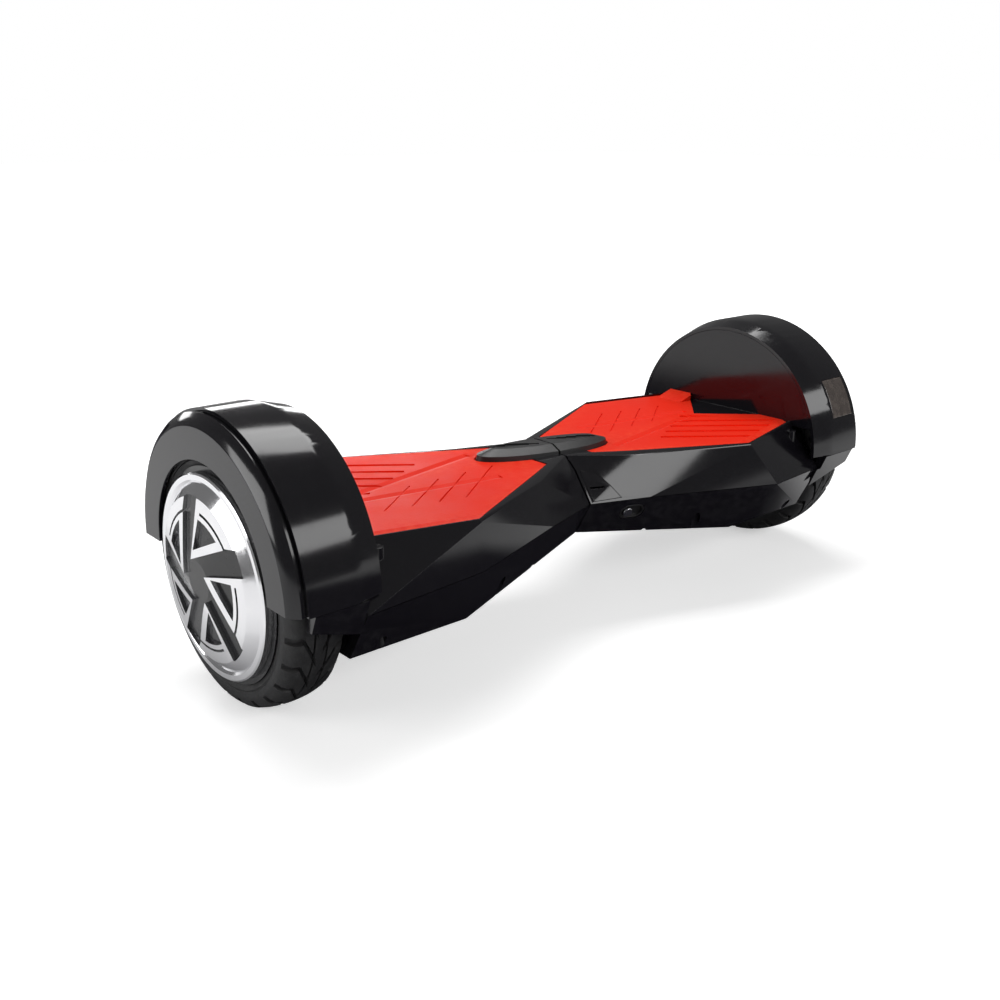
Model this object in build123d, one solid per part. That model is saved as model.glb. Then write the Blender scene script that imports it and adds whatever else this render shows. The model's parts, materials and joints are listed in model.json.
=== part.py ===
from build123d import *
from math import atan2, cos, degrees, hypot, radians, sin, sqrt
import os

# Self balancing two-wheel board. +X runs along the axle to the right, -Y is the front, +Z is up.
# The origin is on the ground under the middle of the board.
# Everything is drawn for the right half, with heights measured from the axle, then lifted.
# The left half is the same set of mouldings turned half a turn about Z.

# ---------- overall sizes ----------
TYRE_DIAMETER = 203.0
TYRE_WIDTH = 47.0
OVERALL_LENGTH = 642.0
AXLE_HEIGHT = TYRE_DIAMETER / 2

# ---------- body outline of one half, heights from the axle ----------
HALF_GAP = 0.9
DECK_TOP = 35.0
WAIST_TOP = 36.5
SHOULDER_Z = 33.0
WAIST_SHOULDER_Z = 26.0
BELT_DROP_PER_MM = 0.031
BELLY_Z = -50.0
WAIST_BELLY_Z = -30.0
NECK_X = 58.0
CORNER_X = 157.0
FLARE_X = 183.0
BODY_END_X = 262.0
WAIST_TOP_Y = 29.0
WAIST_SHOULDER_Y = 41.0
WAIST_BELT_Y = 60.0
WAIST_BELLY_Y = 43.0
NECK_TOP_Y = 54.7
NECK_SHOULDER_Y = 61.0
NECK_BELT_Y = 76.0
CORNER_TOP_Y = 103.5
CORNER_BELT_Y = 108.0
FLARE_BELT_Y = 118.0
END_TOP_Y = 76.0
END_BELT_FRONT_Y = 107.0
END_BELT_REAR_Y = 112.0
BELLY_Y = 86.0
EDGE_BEVEL = 2.0
WALL = 2.6
SEAM_GAP = 0.5
PANEL_HIGH_Z = 25.0
PANEL_LOW_Z = 1.6
PANEL_TOP_X = 15.0
PANEL_FOOT_X = 31.0

# ---------- foot pad and pivot cover ----------
PAD_THICKNESS = 4.0
PAD_SEAT_Z = DECK_TOP - PAD_THICKNESS
SEAT_GAP = 0.1
PAD_CLEARANCE = 0.4
PAD_TIP_X = 27.0
PAD_TIP_Y = 34.0
PAD_EDGE_MARGIN = 3.0
NOTCH_X = 203.0
NOTCH_HALF_WIDTH = 44.0
PAD_BEVEL_WIDTH = 7.0
PAD_BEVEL_DROP = 2.0
PATTERN_MARGIN = 9.0
RIDGE_COUNT = 5
RIDGE_PITCH = 19.0
RIDGE_ANGLE = -38.3
RIDGE_FIRST = 40.0
RIDGE_START = 111.0
RIDGE_LEAN = 8.0
RIDGE_LENGTH = 140.0
RIDGE_GROOVE_WIDTH = 5.0
RIDGE_GROOVE_DEPTH = 1.4
SCORE_COUNT = 4
SCORE_PITCH = 28.5
SCORE_ANGLE = 36.5
SCORE_START_X = 64.0
SCORE_START_Y = 7.0
SCORE_LENGTH = 86.0
SCORE_TAPER = 8.0
SCORE_WIDTH = 1.4
SCORE_DEPTH = 1.0
VALLEY_LINES = (((60.0, -31.0), (196.0, -2.0)), ((78.0, 34.0), (203.0, 12.0)))
VALLEY_HALF_WIDTH = 5.0
VALLEY_DEPTH = 1.2
RAMP_LENGTH = 22.0
RAMP_RISE = 6.0
COVER_HALF_LENGTH = 66.0
COVER_HALF_WIDTH = 22.0
COVER_TOP_Z = 43.5
COVER_SLANT = -12.5
COVER_SHOULDER = 4.5
COVER_CROWN_LENGTH = 16.0
COVER_CROWN_WIDTH = 10.0
COVER_RIB_COUNT = 4
COVER_RIB_PITCH = 9.0
COVER_RIB_ANGLE = -35.0
COVER_RIB_SIZE = (30.0, 3.0, 3.0)
COVER_RIB_START = (20.0, -5.0)

# ---------- fender ----------
FENDER_Z = 5.0
FENDER_CLEARANCE = 14.5
FENDER_RADIUS = TYRE_DIAMETER / 2 + FENDER_CLEARANCE
FENDER_WALL = 3.0
FENDER_INNER_X = 249.0
FENDER_INNER_RADIUS = FENDER_RADIUS - 6.0
TREAD_FACE_START_X = 272.0
TREAD_FACE_END_X = 310.0
SIDE_RING_OUTER_X = OVERALL_LENGTH / 2
SIDE_RING_INNER_RADIUS = 81.0
SIDE_RING_STEP = 2.0
SIDE_RING_ROUND = 11.0
GROOVE_WIDTH = 3.5
SPIGOT_WIDTH = 8.0
LENS_START_ANGLE = 17.0
LENS_END_ANGLE = 36.0
LENS_MARGIN = 3.5
FIT_GAP = 0.3
FOOT_OUTER_X = 305.0
EAR_LOW_Z = -26.0
EAR_TIP_Z = -9.0
EAR_TUCK = 0.98
TYRE_CLEARANCE = 3.0

# ---------- wheel and hub motor ----------
TYRE_CENTRE_X = 291.5
TYRE_DEPTH = 23.5
BEAD_RADIUS = TYRE_DIAMETER / 2 - TYRE_DEPTH
BEAD_TUCK = 4.0
SIDEWALL_FOOT = 7.0
CROWN_WIDTH = 11.0
SHOULDER_DROP = 3.0
DRUM_INNER_RADIUS = 66.0
DRUM_LIP = 2.5
HUB_INNER_X = TYRE_CENTRE_X - TYRE_WIDTH / 2 - DRUM_LIP
HUB_COVER_THICKNESS = 3.0
BEARING_BORE_RADIUS = 7.5
BEARING_OUTER_RADIUS = 17.5
BEARING_WIDTH = 11.0
RACE_WALL = 2.4
SEAL_DEPTH = 0.6
AXLE_SHOULDER_RADIUS = 13.0
AXLE_INNER_X = 214.0
AXLE_CABLE_RADIUS = 3.0
STATOR_LENGTH = TYRE_WIDTH - 2 * (BEARING_WIDTH + HUB_COVER_THICKNESS)
STATOR_RADIUS = 61.9
YOKE_OUTER = 46.0
YOKE_INNER = 40.0
ARM_COUNT = 6
ARM_WIDTH = 7.0
TOOTH_TIP_DEPTH = 2.5
TOOTH_TIP_WIDTH = 11.0
MAGNET_SLIT = 1.0
MAGNET_THICKNESS = 3.3
SLOT_COUNT = 27
MAGNET_COUNT = 30
TOOTH_WIDTH = 4.6
COIL_WIDTH = 9.0
COIL_DEPTH = 11.0
COIL_OVERHANG = 2.4
COVER_RADIUS = 76.5
COVER_LIP_WIDTH = 5.0
COVER_OPEN_RADIUS = 62.0
CONE_RISE = 14.0
CONE_SLOPE = 0.15
CONE_EDGE_RADIUS = 61.0
CONE_TIP_RADIUS = 15.0
CONE_WALL = 2.5
HUB_RIM_RADIUS = 63.0
SPOKE_HEIGHT = 3.0
SPOKE_COUNT = 5
SPOKE_START = 114.0
SPOKE_HALF_SPAN = 24.0
SPOKE_TIP_LEAN = 36.0
SPOKE_TIP_RADIUS = 17.0
LOOP_RADIUS = 50.5
LOOP_BAND = 3.4
LOOP_GROOVE = 2.0
CRESCENT_LEAN = 6.0
ARC_STEP = 6.0
RUNNING_FIT = 0.05

# ---------- frame and pivot ----------
TUBE_RADIUS = 14.0
TUBE_WALL = 2.5
TUBE_HALF_LENGTH = 64.0
SLEEVE_WALL = 5.0
SLEEVE_INNER_X = 6.0
SLEEVE_LENGTH = 62.0
BUSH_WALL = 1.5
PLATE_THICKNESS = 5.0
PLATE_HALF_WIDTH = 40.0
PLATE_START_X = 60.0
RAIL_WIDTH = 4.0
RAIL_HEIGHT = 8.0
CLAMP_LENGTH = 24.0
CLAMP_HALF_WIDTH = 22.0
CLAMP_HEIGHT = 14.0
CLAMP_SCREW_RADIUS = 2.4
CLAMP_SCREW_Y = 16.0
CLAMP_HEAD = 4.0
CLAMP_HEAD_RADIUS = 4.2
HOLE_CLEARANCE = 0.15
CIRCLIP_X = 1.6
CIRCLIP_THICKNESS = 1.6
CIRCLIP_BITE = 1.0
CIRCLIP_OPENING = 6.0
BUSH_FLANGE = 0.9

# ---------- electronics ----------
BOARD_THICKNESS = 1.6
GYRO_X = 155.0
GYRO_WIDTH = 50.0
GYRO_LENGTH = 116.0
GYRO_Z = 10.0
POST_RADIUS = 3.0
POST_Y = 28.0
PLUNGER_Y = 45.0
PLUNGER_RADIUS = 3.0
PLUNGER_HEAD_RADIUS = 7.0
PLUNGER_HEAD = 1.5
PLUNGER_TRAVEL = 2.0
GATE_HEIGHT = 6.5
GATE_HALF = 5.5
GATE_SLOT = 3.6
CHIP_HALF = 8.0
PLUG_DEPTH = 7.0
PLUG_HALF_LENGTH = 12.0
BLADE_THICKNESS = 1.6
BLADE_WIDTH = 4.8
BATTERY_START_X = 95.0
BATTERY_LENGTH = 112.0
BATTERY_HALF_WIDTH = 44.0
BATTERY_TOP_Z = -4.2
BATTERY_HEIGHT = 34.5
BATTERY_SEAT = 0.3
BATTERY_ROUND = 6.0
STRAP_WIDTH = 20.0
STRAP_THICKNESS = 1.6
MAIN_BOARD_X = 150.0
MAIN_BOARD_LENGTH = 110.0
MAIN_BOARD_WIDTH = 76.0
MAIN_BOARD_Z = -12.0
STANDOFF_INSET = 5.0
CAPACITOR_COUNT = 4
CAPACITOR_PITCH = 16.0
CAPACITOR_RADIUS = 6.5
CAPACITOR_HEIGHT = 18.0
HEAT_SINK_LENGTH = 74.0
HEAT_SINK_WIDTH = 7.0
TRANSISTOR_COUNT = 6
TRANSISTOR_WIDTH = 9.0
TRANSISTOR_DEPTH = 4.5

# ---------- pocket for the power button and the charging socket ----------
POCKET_X = 46.0
POCKET_Z = -15.0
POCKET_LENGTH = 24.0
POCKET_WIDTH = 15.0
POCKET_RECESS = 3.0
POCKET_DEPTH = 9.0
BEZEL_WALL = 1.5
BUTTON_RADIUS = 4.6
BUTTON_LENGTH = 11.0
BUTTON_TOP = 1.0
BUTTON_ROUND = 0.8
BUTTON_OFFSET = 4.5
SOCKET_RADIUS = 4.6
SOCKET_WALL = 1.2
SOCKET_WELL = 6.0
SOCKET_PROUD = 0.4
PIN_COUNT = 3
PIN_CIRCLE = 1.7
PIN_RADIUS = 0.5
CAP_THICKNESS = 1.6
CAP_RADIUS = 5.4
CAP_LIFT = 0.8
CAP_ARM_WIDTH = 5.0
CAP_HINGE_INSET = 4.2
CAP_KNUCKLE_RADIUS = 1.5
CAP_PIN_RADIUS = 0.9

# ---------- shell screws ----------
SCREW_SPOTS = ((68.0, 58.0), (117.0, 79.0), (238.0, 90.0))
SCREW_SEAT_Z = -24.0
SCREW_HEAD_RADIUS = 3.6
SCREW_HEAD = 2.4
SCREW_CROSS = 4.4
SCREW_RADIUS = 1.7
SCREW_LENGTH = 34.0
BOSS_RADIUS = 5.6
FAR = 400.0
OVERLAP = 0.5
FLATNESS = 1e-6


# ---------- helpers ----------
def flat(points, towards):
    """A flat face through points, its normal on the side of a direction."""
    corners = [Vector(*point) for point in points]
    face = Face(Wire.make_polygon(corners, close=True))
    if face.normal_at().dot(Vector(*towards)) < 0:
        face = Face(Wire.make_polygon(corners[::-1], close=True))
    return face


def revolve_x(points, sweep=360.0, start=0.0, centre_z=0.0):
    """Turn a profile of (x, radius) points about the X axis; angles start at the front (-Y)."""
    profile = flat([(x, -r, 0) for x, r in points], (0, 0, 1))
    solid = revolve(profile, axis=Axis((0, 0, 0), (-1, 0, 0)), revolution_arc=sweep)
    return Pos(0, 0, centre_z) * Rot(-start, 0, 0) * solid


def rod_x(x0, x1, radius, y=0.0, z=0.0):
    """A round rod along X between two stations."""
    return Pos((x0 + x1) / 2, y, z) * Rot(0, 90, 0) * Cylinder(radius, x1 - x0)


def rod_z(z0, z1, radius, x=0.0, y=0.0):
    """A round rod along Z between two heights."""
    return Pos(x, y, (z0 + z1) / 2) * Cylinder(radius, z1 - z0)


def block(x0, x1, y0, y1, z0, z1):
    """A box between pairs of coordinates."""
    return Pos((x0 + x1) / 2, (y0 + y1) / 2, (z0 + z1) / 2) * Box(x1 - x0, y1 - y0, z1 - z0)


def prism_y(points, y0, y1):
    """Extrude an outline of (x, z) points between two y values."""
    return extrude(flat([(x, y0, z) for x, z in points], (0, 1, 0)), amount=y1 - y0)


def prism_z(points, z0, z1):
    """Extrude an outline of (x, y) points between two heights."""
    return extrude(flat([(x, y, z0) for x, y in points], (0, 0, 1)), amount=z1 - z0)


def belt_z(x):
    """Height of the seam between the upper and the lower shell."""
    return -BELT_DROP_PER_MM * x


def stitch(first, second, middle):
    """Triangles between two edge lines, station by station, each pair folded outwards."""
    faces = []
    i = j = 0
    while i < len(first) - 1 or j < len(second) - 1:
        a = Vector(*first[i])
        b = Vector(*second[j])
        next_first = Vector(*first[min(i + 1, len(first) - 1)])
        next_second = Vector(*second[min(j + 1, len(second) - 1)])
        if i == len(first) - 1 or j == len(second) - 1:
            step_first = j == len(second) - 1
        elif abs(next_first.X - next_second.X) > FLATNESS:
            step_first = next_first.X < next_second.X
        else:
            normal = (b - a).cross(next_first - a)
            if normal.dot((a + b) * 0.5 - middle) < 0:
                normal = normal * -1
            step_first = normal.dot(next_second - a) <= FLATNESS
        third = next_first if step_first else next_second
        i += step_first
        j += not step_first
        faces.append(flat([a, b, third], (a + b + third) * (1 / 3) - middle))
    return faces


def skin(lines):
    """A closed solid through edge lines that all run from the waist to the wheel."""
    start = [line[0] for line in lines]
    end = [line[-1] for line in lines]
    middle = Vector((start[0][0] + end[0][0]) / 2, 0, (DECK_TOP + BELLY_Z) / 2)
    faces = [flat(start, (-1, 0, 0)), flat(end, (1, 0, 0))]
    for index, line in enumerate(lines):
        faces += stitch(line, lines[(index + 1) % len(lines)], middle)
    return Solid(Shell(faces)).clean()


def side_lines(belt, side):
    """Edge lines of one side: deck edge, shoulder, belt and belly, from the waist outwards."""
    x0 = HALF_GAP
    top = [
        (x0, WAIST_TOP_Y, WAIST_TOP),
        (NECK_X, NECK_TOP_Y, DECK_TOP),
        (CORNER_X, CORNER_TOP_Y, DECK_TOP),
        (BODY_END_X, END_TOP_Y, DECK_TOP),
    ]
    shoulder = [
        (x0, WAIST_SHOULDER_Y, WAIST_SHOULDER_Z),
        (NECK_X, NECK_SHOULDER_Y, SHOULDER_Z),
        (CORNER_X, CORNER_TOP_Y + EDGE_BEVEL, SHOULDER_Z),
        (BODY_END_X, END_TOP_Y + EDGE_BEVEL, SHOULDER_Z),
    ]
    belly = [
        (x0, WAIST_BELLY_Y, WAIST_BELLY_Z),
        (CORNER_X, BELLY_Y, BELLY_Z),
        (BODY_END_X, BELLY_Y, BELLY_Z),
    ]
    belt_line = [(x, y, belt_z(x)) for x, y in belt]
    return [[(x, side * y, z) for x, y, z in line] for line in (top, shoulder, belt_line, belly)]


FRONT_BELT = (
    (HALF_GAP, WAIST_BELT_Y),
    (NECK_X, NECK_BELT_Y),
    (FLARE_X, FLARE_BELT_Y),
    (BODY_END_X, END_BELT_FRONT_Y),
)
REAR_BELT = (
    (HALF_GAP, WAIST_BELT_Y),
    (NECK_X, NECK_BELT_Y),
    (CORNER_X, CORNER_BELT_Y),
    (BODY_END_X, END_BELT_REAR_Y),
)


def body_outline():
    """The faceted outside of one half: front side first, then the rear side."""
    front = side_lines(FRONT_BELT, -1)
    rear = side_lines(REAR_BELT, 1)
    return skin(front + rear[::-1])


def body_hollow():
    """The hollow inside one half, a wall thickness smaller all round."""
    x0 = HALF_GAP + WALL
    x1 = BODY_END_X - WALL
    ceiling = PAD_SEAT_Z - WALL
    lines = []
    for side, belt in ((-1, FRONT_BELT), (1, REAR_BELT)):
        top, _, belt_line, belly = side_lines(belt, side)
        walls = []
        for line, lift in ((top, None), (belt_line, 0.0), (belly, WALL)):
            shifted = []
            for x, y, z in line:
                inside = side * (abs(y) - 1.15 * WALL)
                shifted.append((min(max(x, x0), x1), inside, ceiling if lift is None else z + lift))
            walls.append(shifted)
        lines.append(walls)
    return skin(lines[0] + lines[1][::-1])


def above_belt(gap):
    """Everything above the seam, lifted by half the seam gap."""
    return prism_y([(-1, gap), (FAR, belt_z(FAR) + gap), (FAR, FAR), (-1, FAR)], -FAR, FAR)


def below_belt(gap):
    """Everything below the seam."""
    return prism_y([(-1, -gap), (FAR, belt_z(FAR) - gap), (FAR, -FAR), (-1, -FAR)], -FAR, FAR)


def pad_points(shrink):
    """Outline of the foot pad with its notch at the wheel end, drawn in by shrink."""
    slope = (CORNER_TOP_Y - NECK_TOP_Y) / (CORNER_X - NECK_X)
    end_slope = (END_TOP_Y - CORNER_TOP_Y) / (BODY_END_X - CORNER_X)
    end_x = FENDER_INNER_X - shrink
    corner_y = CORNER_TOP_Y - PAD_EDGE_MARGIN / 2 - shrink
    end_y = CORNER_TOP_Y + end_slope * (end_x - CORNER_X) - PAD_EDGE_MARGIN / 2 - shrink
    tip_x = PAD_TIP_X + shrink
    tip_y = PAD_TIP_Y - shrink + slope * shrink
    notch_x = NOTCH_X - 1.2 * shrink
    notch_y = NOTCH_HALF_WIDTH + shrink
    near = [(tip_x, -tip_y), (CORNER_X, -corner_y), (end_x, -end_y), (end_x, -notch_y)]
    far = [(x, -y) for x, y in near[::-1]]
    return near + [(notch_x, 0.0)] + far


def pivot_cover_outline(height, grow):
    """The slanted oval of the pivot cover at one height."""
    oval = Ellipse(COVER_HALF_LENGTH + grow, COVER_HALF_WIDTH + grow)
    return Pos(0, 0, height) * Rot(0, 0, COVER_SLANT) * oval


def screw_places():
    """The screw spots on both sides of a half."""
    return [(x, side * y) for x, y in SCREW_SPOTS for side in (-1, 1)]


def pocket_plane():
    """A plane on the lower front facet of the waist, facing out."""
    share = (POCKET_X - HALF_GAP) / (NECK_X - HALF_GAP)
    belt_y = WAIST_BELT_Y + share * (NECK_BELT_Y - WAIST_BELT_Y)
    belly_share = (POCKET_X - HALF_GAP) / (CORNER_X - HALF_GAP)
    belly_y = WAIST_BELLY_Y + belly_share * (BELLY_Y - WAIST_BELLY_Y)
    belly_z = WAIST_BELLY_Z + belly_share * (BELLY_Z - WAIST_BELLY_Z)
    top_z = belt_z(POCKET_X)
    fall = (POCKET_Z - top_z) / (belly_z - top_z)
    y = -(belt_y + fall * (belly_y - belt_y))
    along = Vector(NECK_X - HALF_GAP, -(NECK_BELT_Y - WAIST_BELT_Y), belt_z(NECK_X) - belt_z(HALF_GAP))
    down = Vector(0, belt_y - belly_y, belly_z - top_z)
    normal = along.cross(down)
    if normal.Y > 0:
        normal = normal * -1
    return Plane(origin=(POCKET_X, y, POCKET_Z), x_dir=along.normalized(), z_dir=normal.normalized())


def slot_block(length, width, low, high):
    """A round-ended block on the pocket plane between two heights along its normal."""
    face = SlotOverall(length, width).face()
    return pocket_plane().location * (Pos(0, 0, low) * extrude(face, amount=high - low))


def peg(radius, low, high, offset=0.0):
    """A round peg on the pocket plane."""
    return pocket_plane().location * (Pos(offset, 0, (low + high) / 2) * Cylinder(radius, high - low))


# ---------- shells ----------
def shell_blank():
    """Outer skin with its hollow, the deck recess, the tube hole and the axle hole."""
    walls = body_outline() - body_hollow()
    recess = prism_z(pad_points(-PAD_CLEARANCE), PAD_SEAT_Z, FAR)
    recess += extrude(pivot_cover_outline(PAD_SEAT_Z, PAD_CLEARANCE), amount=FAR, dir=(0, 0, 1))
    walls -= recess
    walls -= rod_x(-1, WALL + HALF_GAP + 1, TUBE_RADIUS + BUSH_WALL + 1)
    walls -= rod_x(BODY_END_X - 2 * WALL, BODY_END_X + 1, BEARING_BORE_RADIUS + 1)
    return walls


def waist_panel_zone(gap):
    """The slanted four-sided opening for the waist panel on the front shoulder."""
    outline = [
        (HALF_GAP + WALL + gap, PANEL_HIGH_Z - gap),
        (PANEL_TOP_X - gap, PANEL_HIGH_Z - gap),
        (PANEL_FOOT_X - 2 * gap, PANEL_LOW_Z + gap),
        (HALF_GAP + WALL + gap, PANEL_LOW_Z + gap),
    ]
    return prism_y(outline, -FAR, -20.0)


def top_shell(blank):
    """Upper shell with the fender's inner wall, the screw bosses and the plunger guides."""
    shell = blank & above_belt(SEAM_GAP / 2)
    shell -= waist_panel_zone(0.0)
    wall_radius = FENDER_INNER_RADIUS - FENDER_WALL - FIT_GAP
    wall = rod_x(FENDER_INNER_X, FENDER_INNER_X + FENDER_WALL, wall_radius, z=FENDER_Z)
    wall &= block(0, FAR, -FAR, FAR, PAD_SEAT_Z, FAR)
    shell += wall
    for x, y in screw_places():
        boss = rod_z(belt_z(x) + SEAM_GAP / 2, PAD_SEAT_Z - WALL / 2, SCREW_RADIUS + WALL, x, y)
        shell += boss - rod_z(-FAR, SCREW_SEAT_Z + SCREW_LENGTH + 1, SCREW_RADIUS + HOLE_CLEARANCE, x, y)
    seat = PAD_SEAT_Z - PLUNGER_HEAD - PLUNGER_TRAVEL - FIT_GAP
    for y in (-PLUNGER_Y, PLUNGER_Y):
        guide = PLUNGER_HEAD_RADIUS + FIT_GAP + WALL
        shell += rod_z(seat - 2 * WALL, PAD_SEAT_Z - WALL / 2, guide, GYRO_X, y)
        shell -= rod_z(seat, FAR, PLUNGER_HEAD_RADIUS + FIT_GAP, GYRO_X, y)
        shell -= rod_z(0, FAR, PLUNGER_RADIUS + FIT_GAP, GYRO_X, y)
    return shell


def fender_foot(side):
    """The ear of the lower shell that runs on past the tyre under each end of the fender."""
    outer = FENDER_RADIUS
    inner = TYRE_DIAMETER / 2 + TYRE_CLEARANCE
    x0 = BODY_END_X - 2 * WALL
    near, far = sorted((side * inner * EAR_TUCK, side * outer))
    ear = block(x0, FOOT_OUTER_X, near, far, EAR_LOW_Z, FENDER_Z - FIT_GAP)
    slope = prism_y([(x0 - 1, EAR_LOW_Z - 1), (FOOT_OUTER_X + 1, EAR_LOW_Z - 1),
                     (FOOT_OUTER_X + 1, EAR_TIP_Z)], -FAR, FAR)
    lean = flat([(0, side * outer, FENDER_Z), (0, side * (outer + 20), FENDER_Z),
                 (0, side * (outer + 20), EAR_LOW_Z), (0, side * inner * EAR_TUCK, EAR_LOW_Z)], (1, 0, 0))
    lean = extrude(lean, amount=FAR)
    round_inside = rod_x(x0 - 1, FOOT_OUTER_X + 1, inner)
    upper_end = BODY_END_X + FIT_GAP
    under_top_shell = prism_y([(0, -SEAM_GAP / 2), (upper_end, belt_z(upper_end) - SEAM_GAP / 2),
                               (upper_end, FAR), (0, FAR)], -FAR, FAR)
    return ear - slope - lean - round_inside - under_top_shell


def bottom_shell(blank):
    """Lower shell with its screw columns, the pocket opening and the ears beside the tyre."""
    shell = blank & below_belt(SEAM_GAP / 2)
    hollow_below = below_belt(SEAM_GAP / 2)
    for side in (-1, 1):
        shell += fender_foot(side)
    for x, y in screw_places():
        column = rod_z(BELLY_Z, belt_z(x) - SEAM_GAP, BOSS_RADIUS, x, y)
        shell += column & body_outline() & hollow_below
        shell -= rod_z(-FAR, SCREW_SEAT_Z, SCREW_HEAD_RADIUS + 2 * FIT_GAP, x, y)
        shell -= rod_z(-FAR, FAR, SCREW_RADIUS + HOLE_CLEARANCE, x, y)
    shell -= slot_block(POCKET_LENGTH + 2 * FIT_GAP, POCKET_WIDTH + 2 * FIT_GAP, -POCKET_DEPTH, 20)
    return shell


def waist_panel(blank):
    """The small slotted panel beside the pivot."""
    panel = blank & above_belt(SEAM_GAP / 2) & waist_panel_zone(FIT_GAP)
    return panel - block(HALF_GAP + 2 * WALL, 18, -FAR, 0, 11.0, 12.6)


def foot_pad():
    """Rubber pad: bevelled outer edges, ridges on the front wing, scored lines on the rear wing."""
    pad = prism_z(pad_points(0.0), PAD_SEAT_Z + SEAT_GAP, DECK_TOP)
    points = pad_points(0.0)
    wall_points = [points[1], points[2]]
    for side in (1, -1):
        (x0, y0), (x1, y1) = wall_points
        y0, y1 = side * y0, side * y1
        angle = degrees(atan2(y1 - y0, x1 - x0))
        length = hypot(x1 - x0, y1 - y0) + 20
        wedge = flat([(0, side * PAD_BEVEL_WIDTH, 0), (0, 0, -PAD_BEVEL_DROP), (0, -side, -PAD_BEVEL_DROP),
                      (0, -side, 1), (0, side * PAD_BEVEL_WIDTH, 1)], (1, 0, 0))
        wedge = extrude(wedge, amount=length)
        pad -= Pos(x0 - 8, y0 - 8 * (y1 - y0) / (x1 - x0), DECK_TOP) * Rot(0, 0, angle) * wedge
    inside = prism_z(pad_points(PATTERN_MARGIN), 0, FAR)
    for number in range(RIDGE_COUNT):
        groove = Box(RIDGE_LENGTH, RIDGE_GROOVE_WIDTH, 2 * RIDGE_GROOVE_DEPTH)
        along = RIDGE_START + RIDGE_LEAN * number + RIDGE_LENGTH / 2
        across = RIDGE_FIRST + RIDGE_PITCH * number
        pad -= inside & (Pos(0, 0, DECK_TOP) * Rot(0, 0, RIDGE_ANGLE) * Pos(along, across, 0) * groove)
    for number in range(SCORE_COUNT):
        length = SCORE_LENGTH - SCORE_TAPER * number
        start = Pos(SCORE_START_X + SCORE_PITCH * number, SCORE_START_Y, DECK_TOP) * Rot(0, 0, SCORE_ANGLE)
        pad -= start * Pos(length / 2, 0, 0) * Box(length, SCORE_WIDTH, 2 * SCORE_DEPTH)
    for (x0, y0), (x1, y1) in VALLEY_LINES:
        fold = [(0, -VALLEY_HALF_WIDTH, 0), (0, VALLEY_HALF_WIDTH, 0), (0, 0, -VALLEY_DEPTH)]
        valley = extrude(flat(fold, (1, 0, 0)), amount=hypot(x1 - x0, y1 - y0))
        pad -= Pos(x0, y0, DECK_TOP) * Rot(0, 0, degrees(atan2(y1 - y0, x1 - x0))) * valley
    end_x, end_y = points[6]
    ramp_foot = DECK_TOP - OVERLAP
    ramp = prism_y([(end_x - RAMP_LENGTH, ramp_foot), (end_x, ramp_foot), (end_x, DECK_TOP + RAMP_RISE)],
                   NOTCH_HALF_WIDTH - PAD_THICKNESS, end_y - PAD_BEVEL_WIDTH)
    ramp &= prism_z(pad_points(0.0), 0, FAR)
    pad += ramp
    pad -= extrude(pivot_cover_outline(0, PAD_CLEARANCE), amount=FAR, dir=(0, 0, 1))
    return pad


def pivot_cover():
    """Half of the domed cover over the pivot, with ribs on its front side."""
    levels = (
        (PAD_SEAT_Z + SEAT_GAP, 0.0, 0.0),
        (COVER_TOP_Z - COVER_SHOULDER, -COVER_CROWN_LENGTH / 8, -COVER_CROWN_WIDTH / 8),
        (COVER_TOP_Z, -COVER_CROWN_LENGTH, -COVER_CROWN_WIDTH),
    )
    rings = []
    for height, longer, wider in levels:
        ring = Wire.make_ellipse(COVER_HALF_LENGTH + longer, COVER_HALF_WIDTH + wider)
        rings.append(Pos(0, 0, height) * Rot(0, 0, COVER_SLANT) * ring)
    dome = Solid.make_loft(rings, ruled=True)
    dome &= block(HALF_GAP, FAR, -FAR, FAR, 0, FAR)
    rib_x, rib_y = COVER_RIB_START
    for number in range(COVER_RIB_COUNT):
        place = Pos(rib_x + COVER_RIB_PITCH * number, rib_y - COVER_RIB_SIZE[1] * number, COVER_TOP_Z)
        dome -= place * Rot(0, 0, COVER_RIB_ANGLE) * Box(*COVER_RIB_SIZE)
    return dome


# ---------- fender ----------
def fender_profile():
    """Cross-section of the arch: inner lip, slanted shoulder and tread face."""
    inner = FENDER_RADIUS - FENDER_WALL
    lip = FENDER_INNER_RADIUS - FENDER_WALL
    return [
        (FENDER_INNER_X, lip),
        (FENDER_INNER_X, FENDER_INNER_RADIUS),
        (TREAD_FACE_START_X, FENDER_RADIUS),
        (TREAD_FACE_END_X, FENDER_RADIUS),
        (TREAD_FACE_END_X, inner),
        (TREAD_FACE_START_X, inner),
        (FENDER_INNER_X + FENDER_WALL, lip),
    ]


def lens_zone(gap):
    """The lamp opening in the tread face near the front end of the arch."""
    inner = FENDER_RADIUS - FENDER_WALL
    x0 = TREAD_FACE_START_X + LENS_MARGIN + gap
    x1 = TREAD_FACE_END_X - LENS_MARGIN - gap
    angle_gap = degrees(gap / FENDER_RADIUS)
    points = [(x0, inner - 1), (x0, FENDER_RADIUS + 1), (x1, FENDER_RADIUS + 1), (x1, inner - 1)]
    sweep = LENS_END_ANGLE - LENS_START_ANGLE - 2 * angle_gap
    return revolve_x(points, sweep, LENS_START_ANGLE + angle_gap, FENDER_Z)


def fender_arch():
    """Half ring over the tyre, cut away where the deck shell carries it."""
    arch = revolve_x(fender_profile(), 180.0, 0.0, FENDER_Z)
    arch -= lens_zone(0.0)
    return arch - body_outline()


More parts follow.
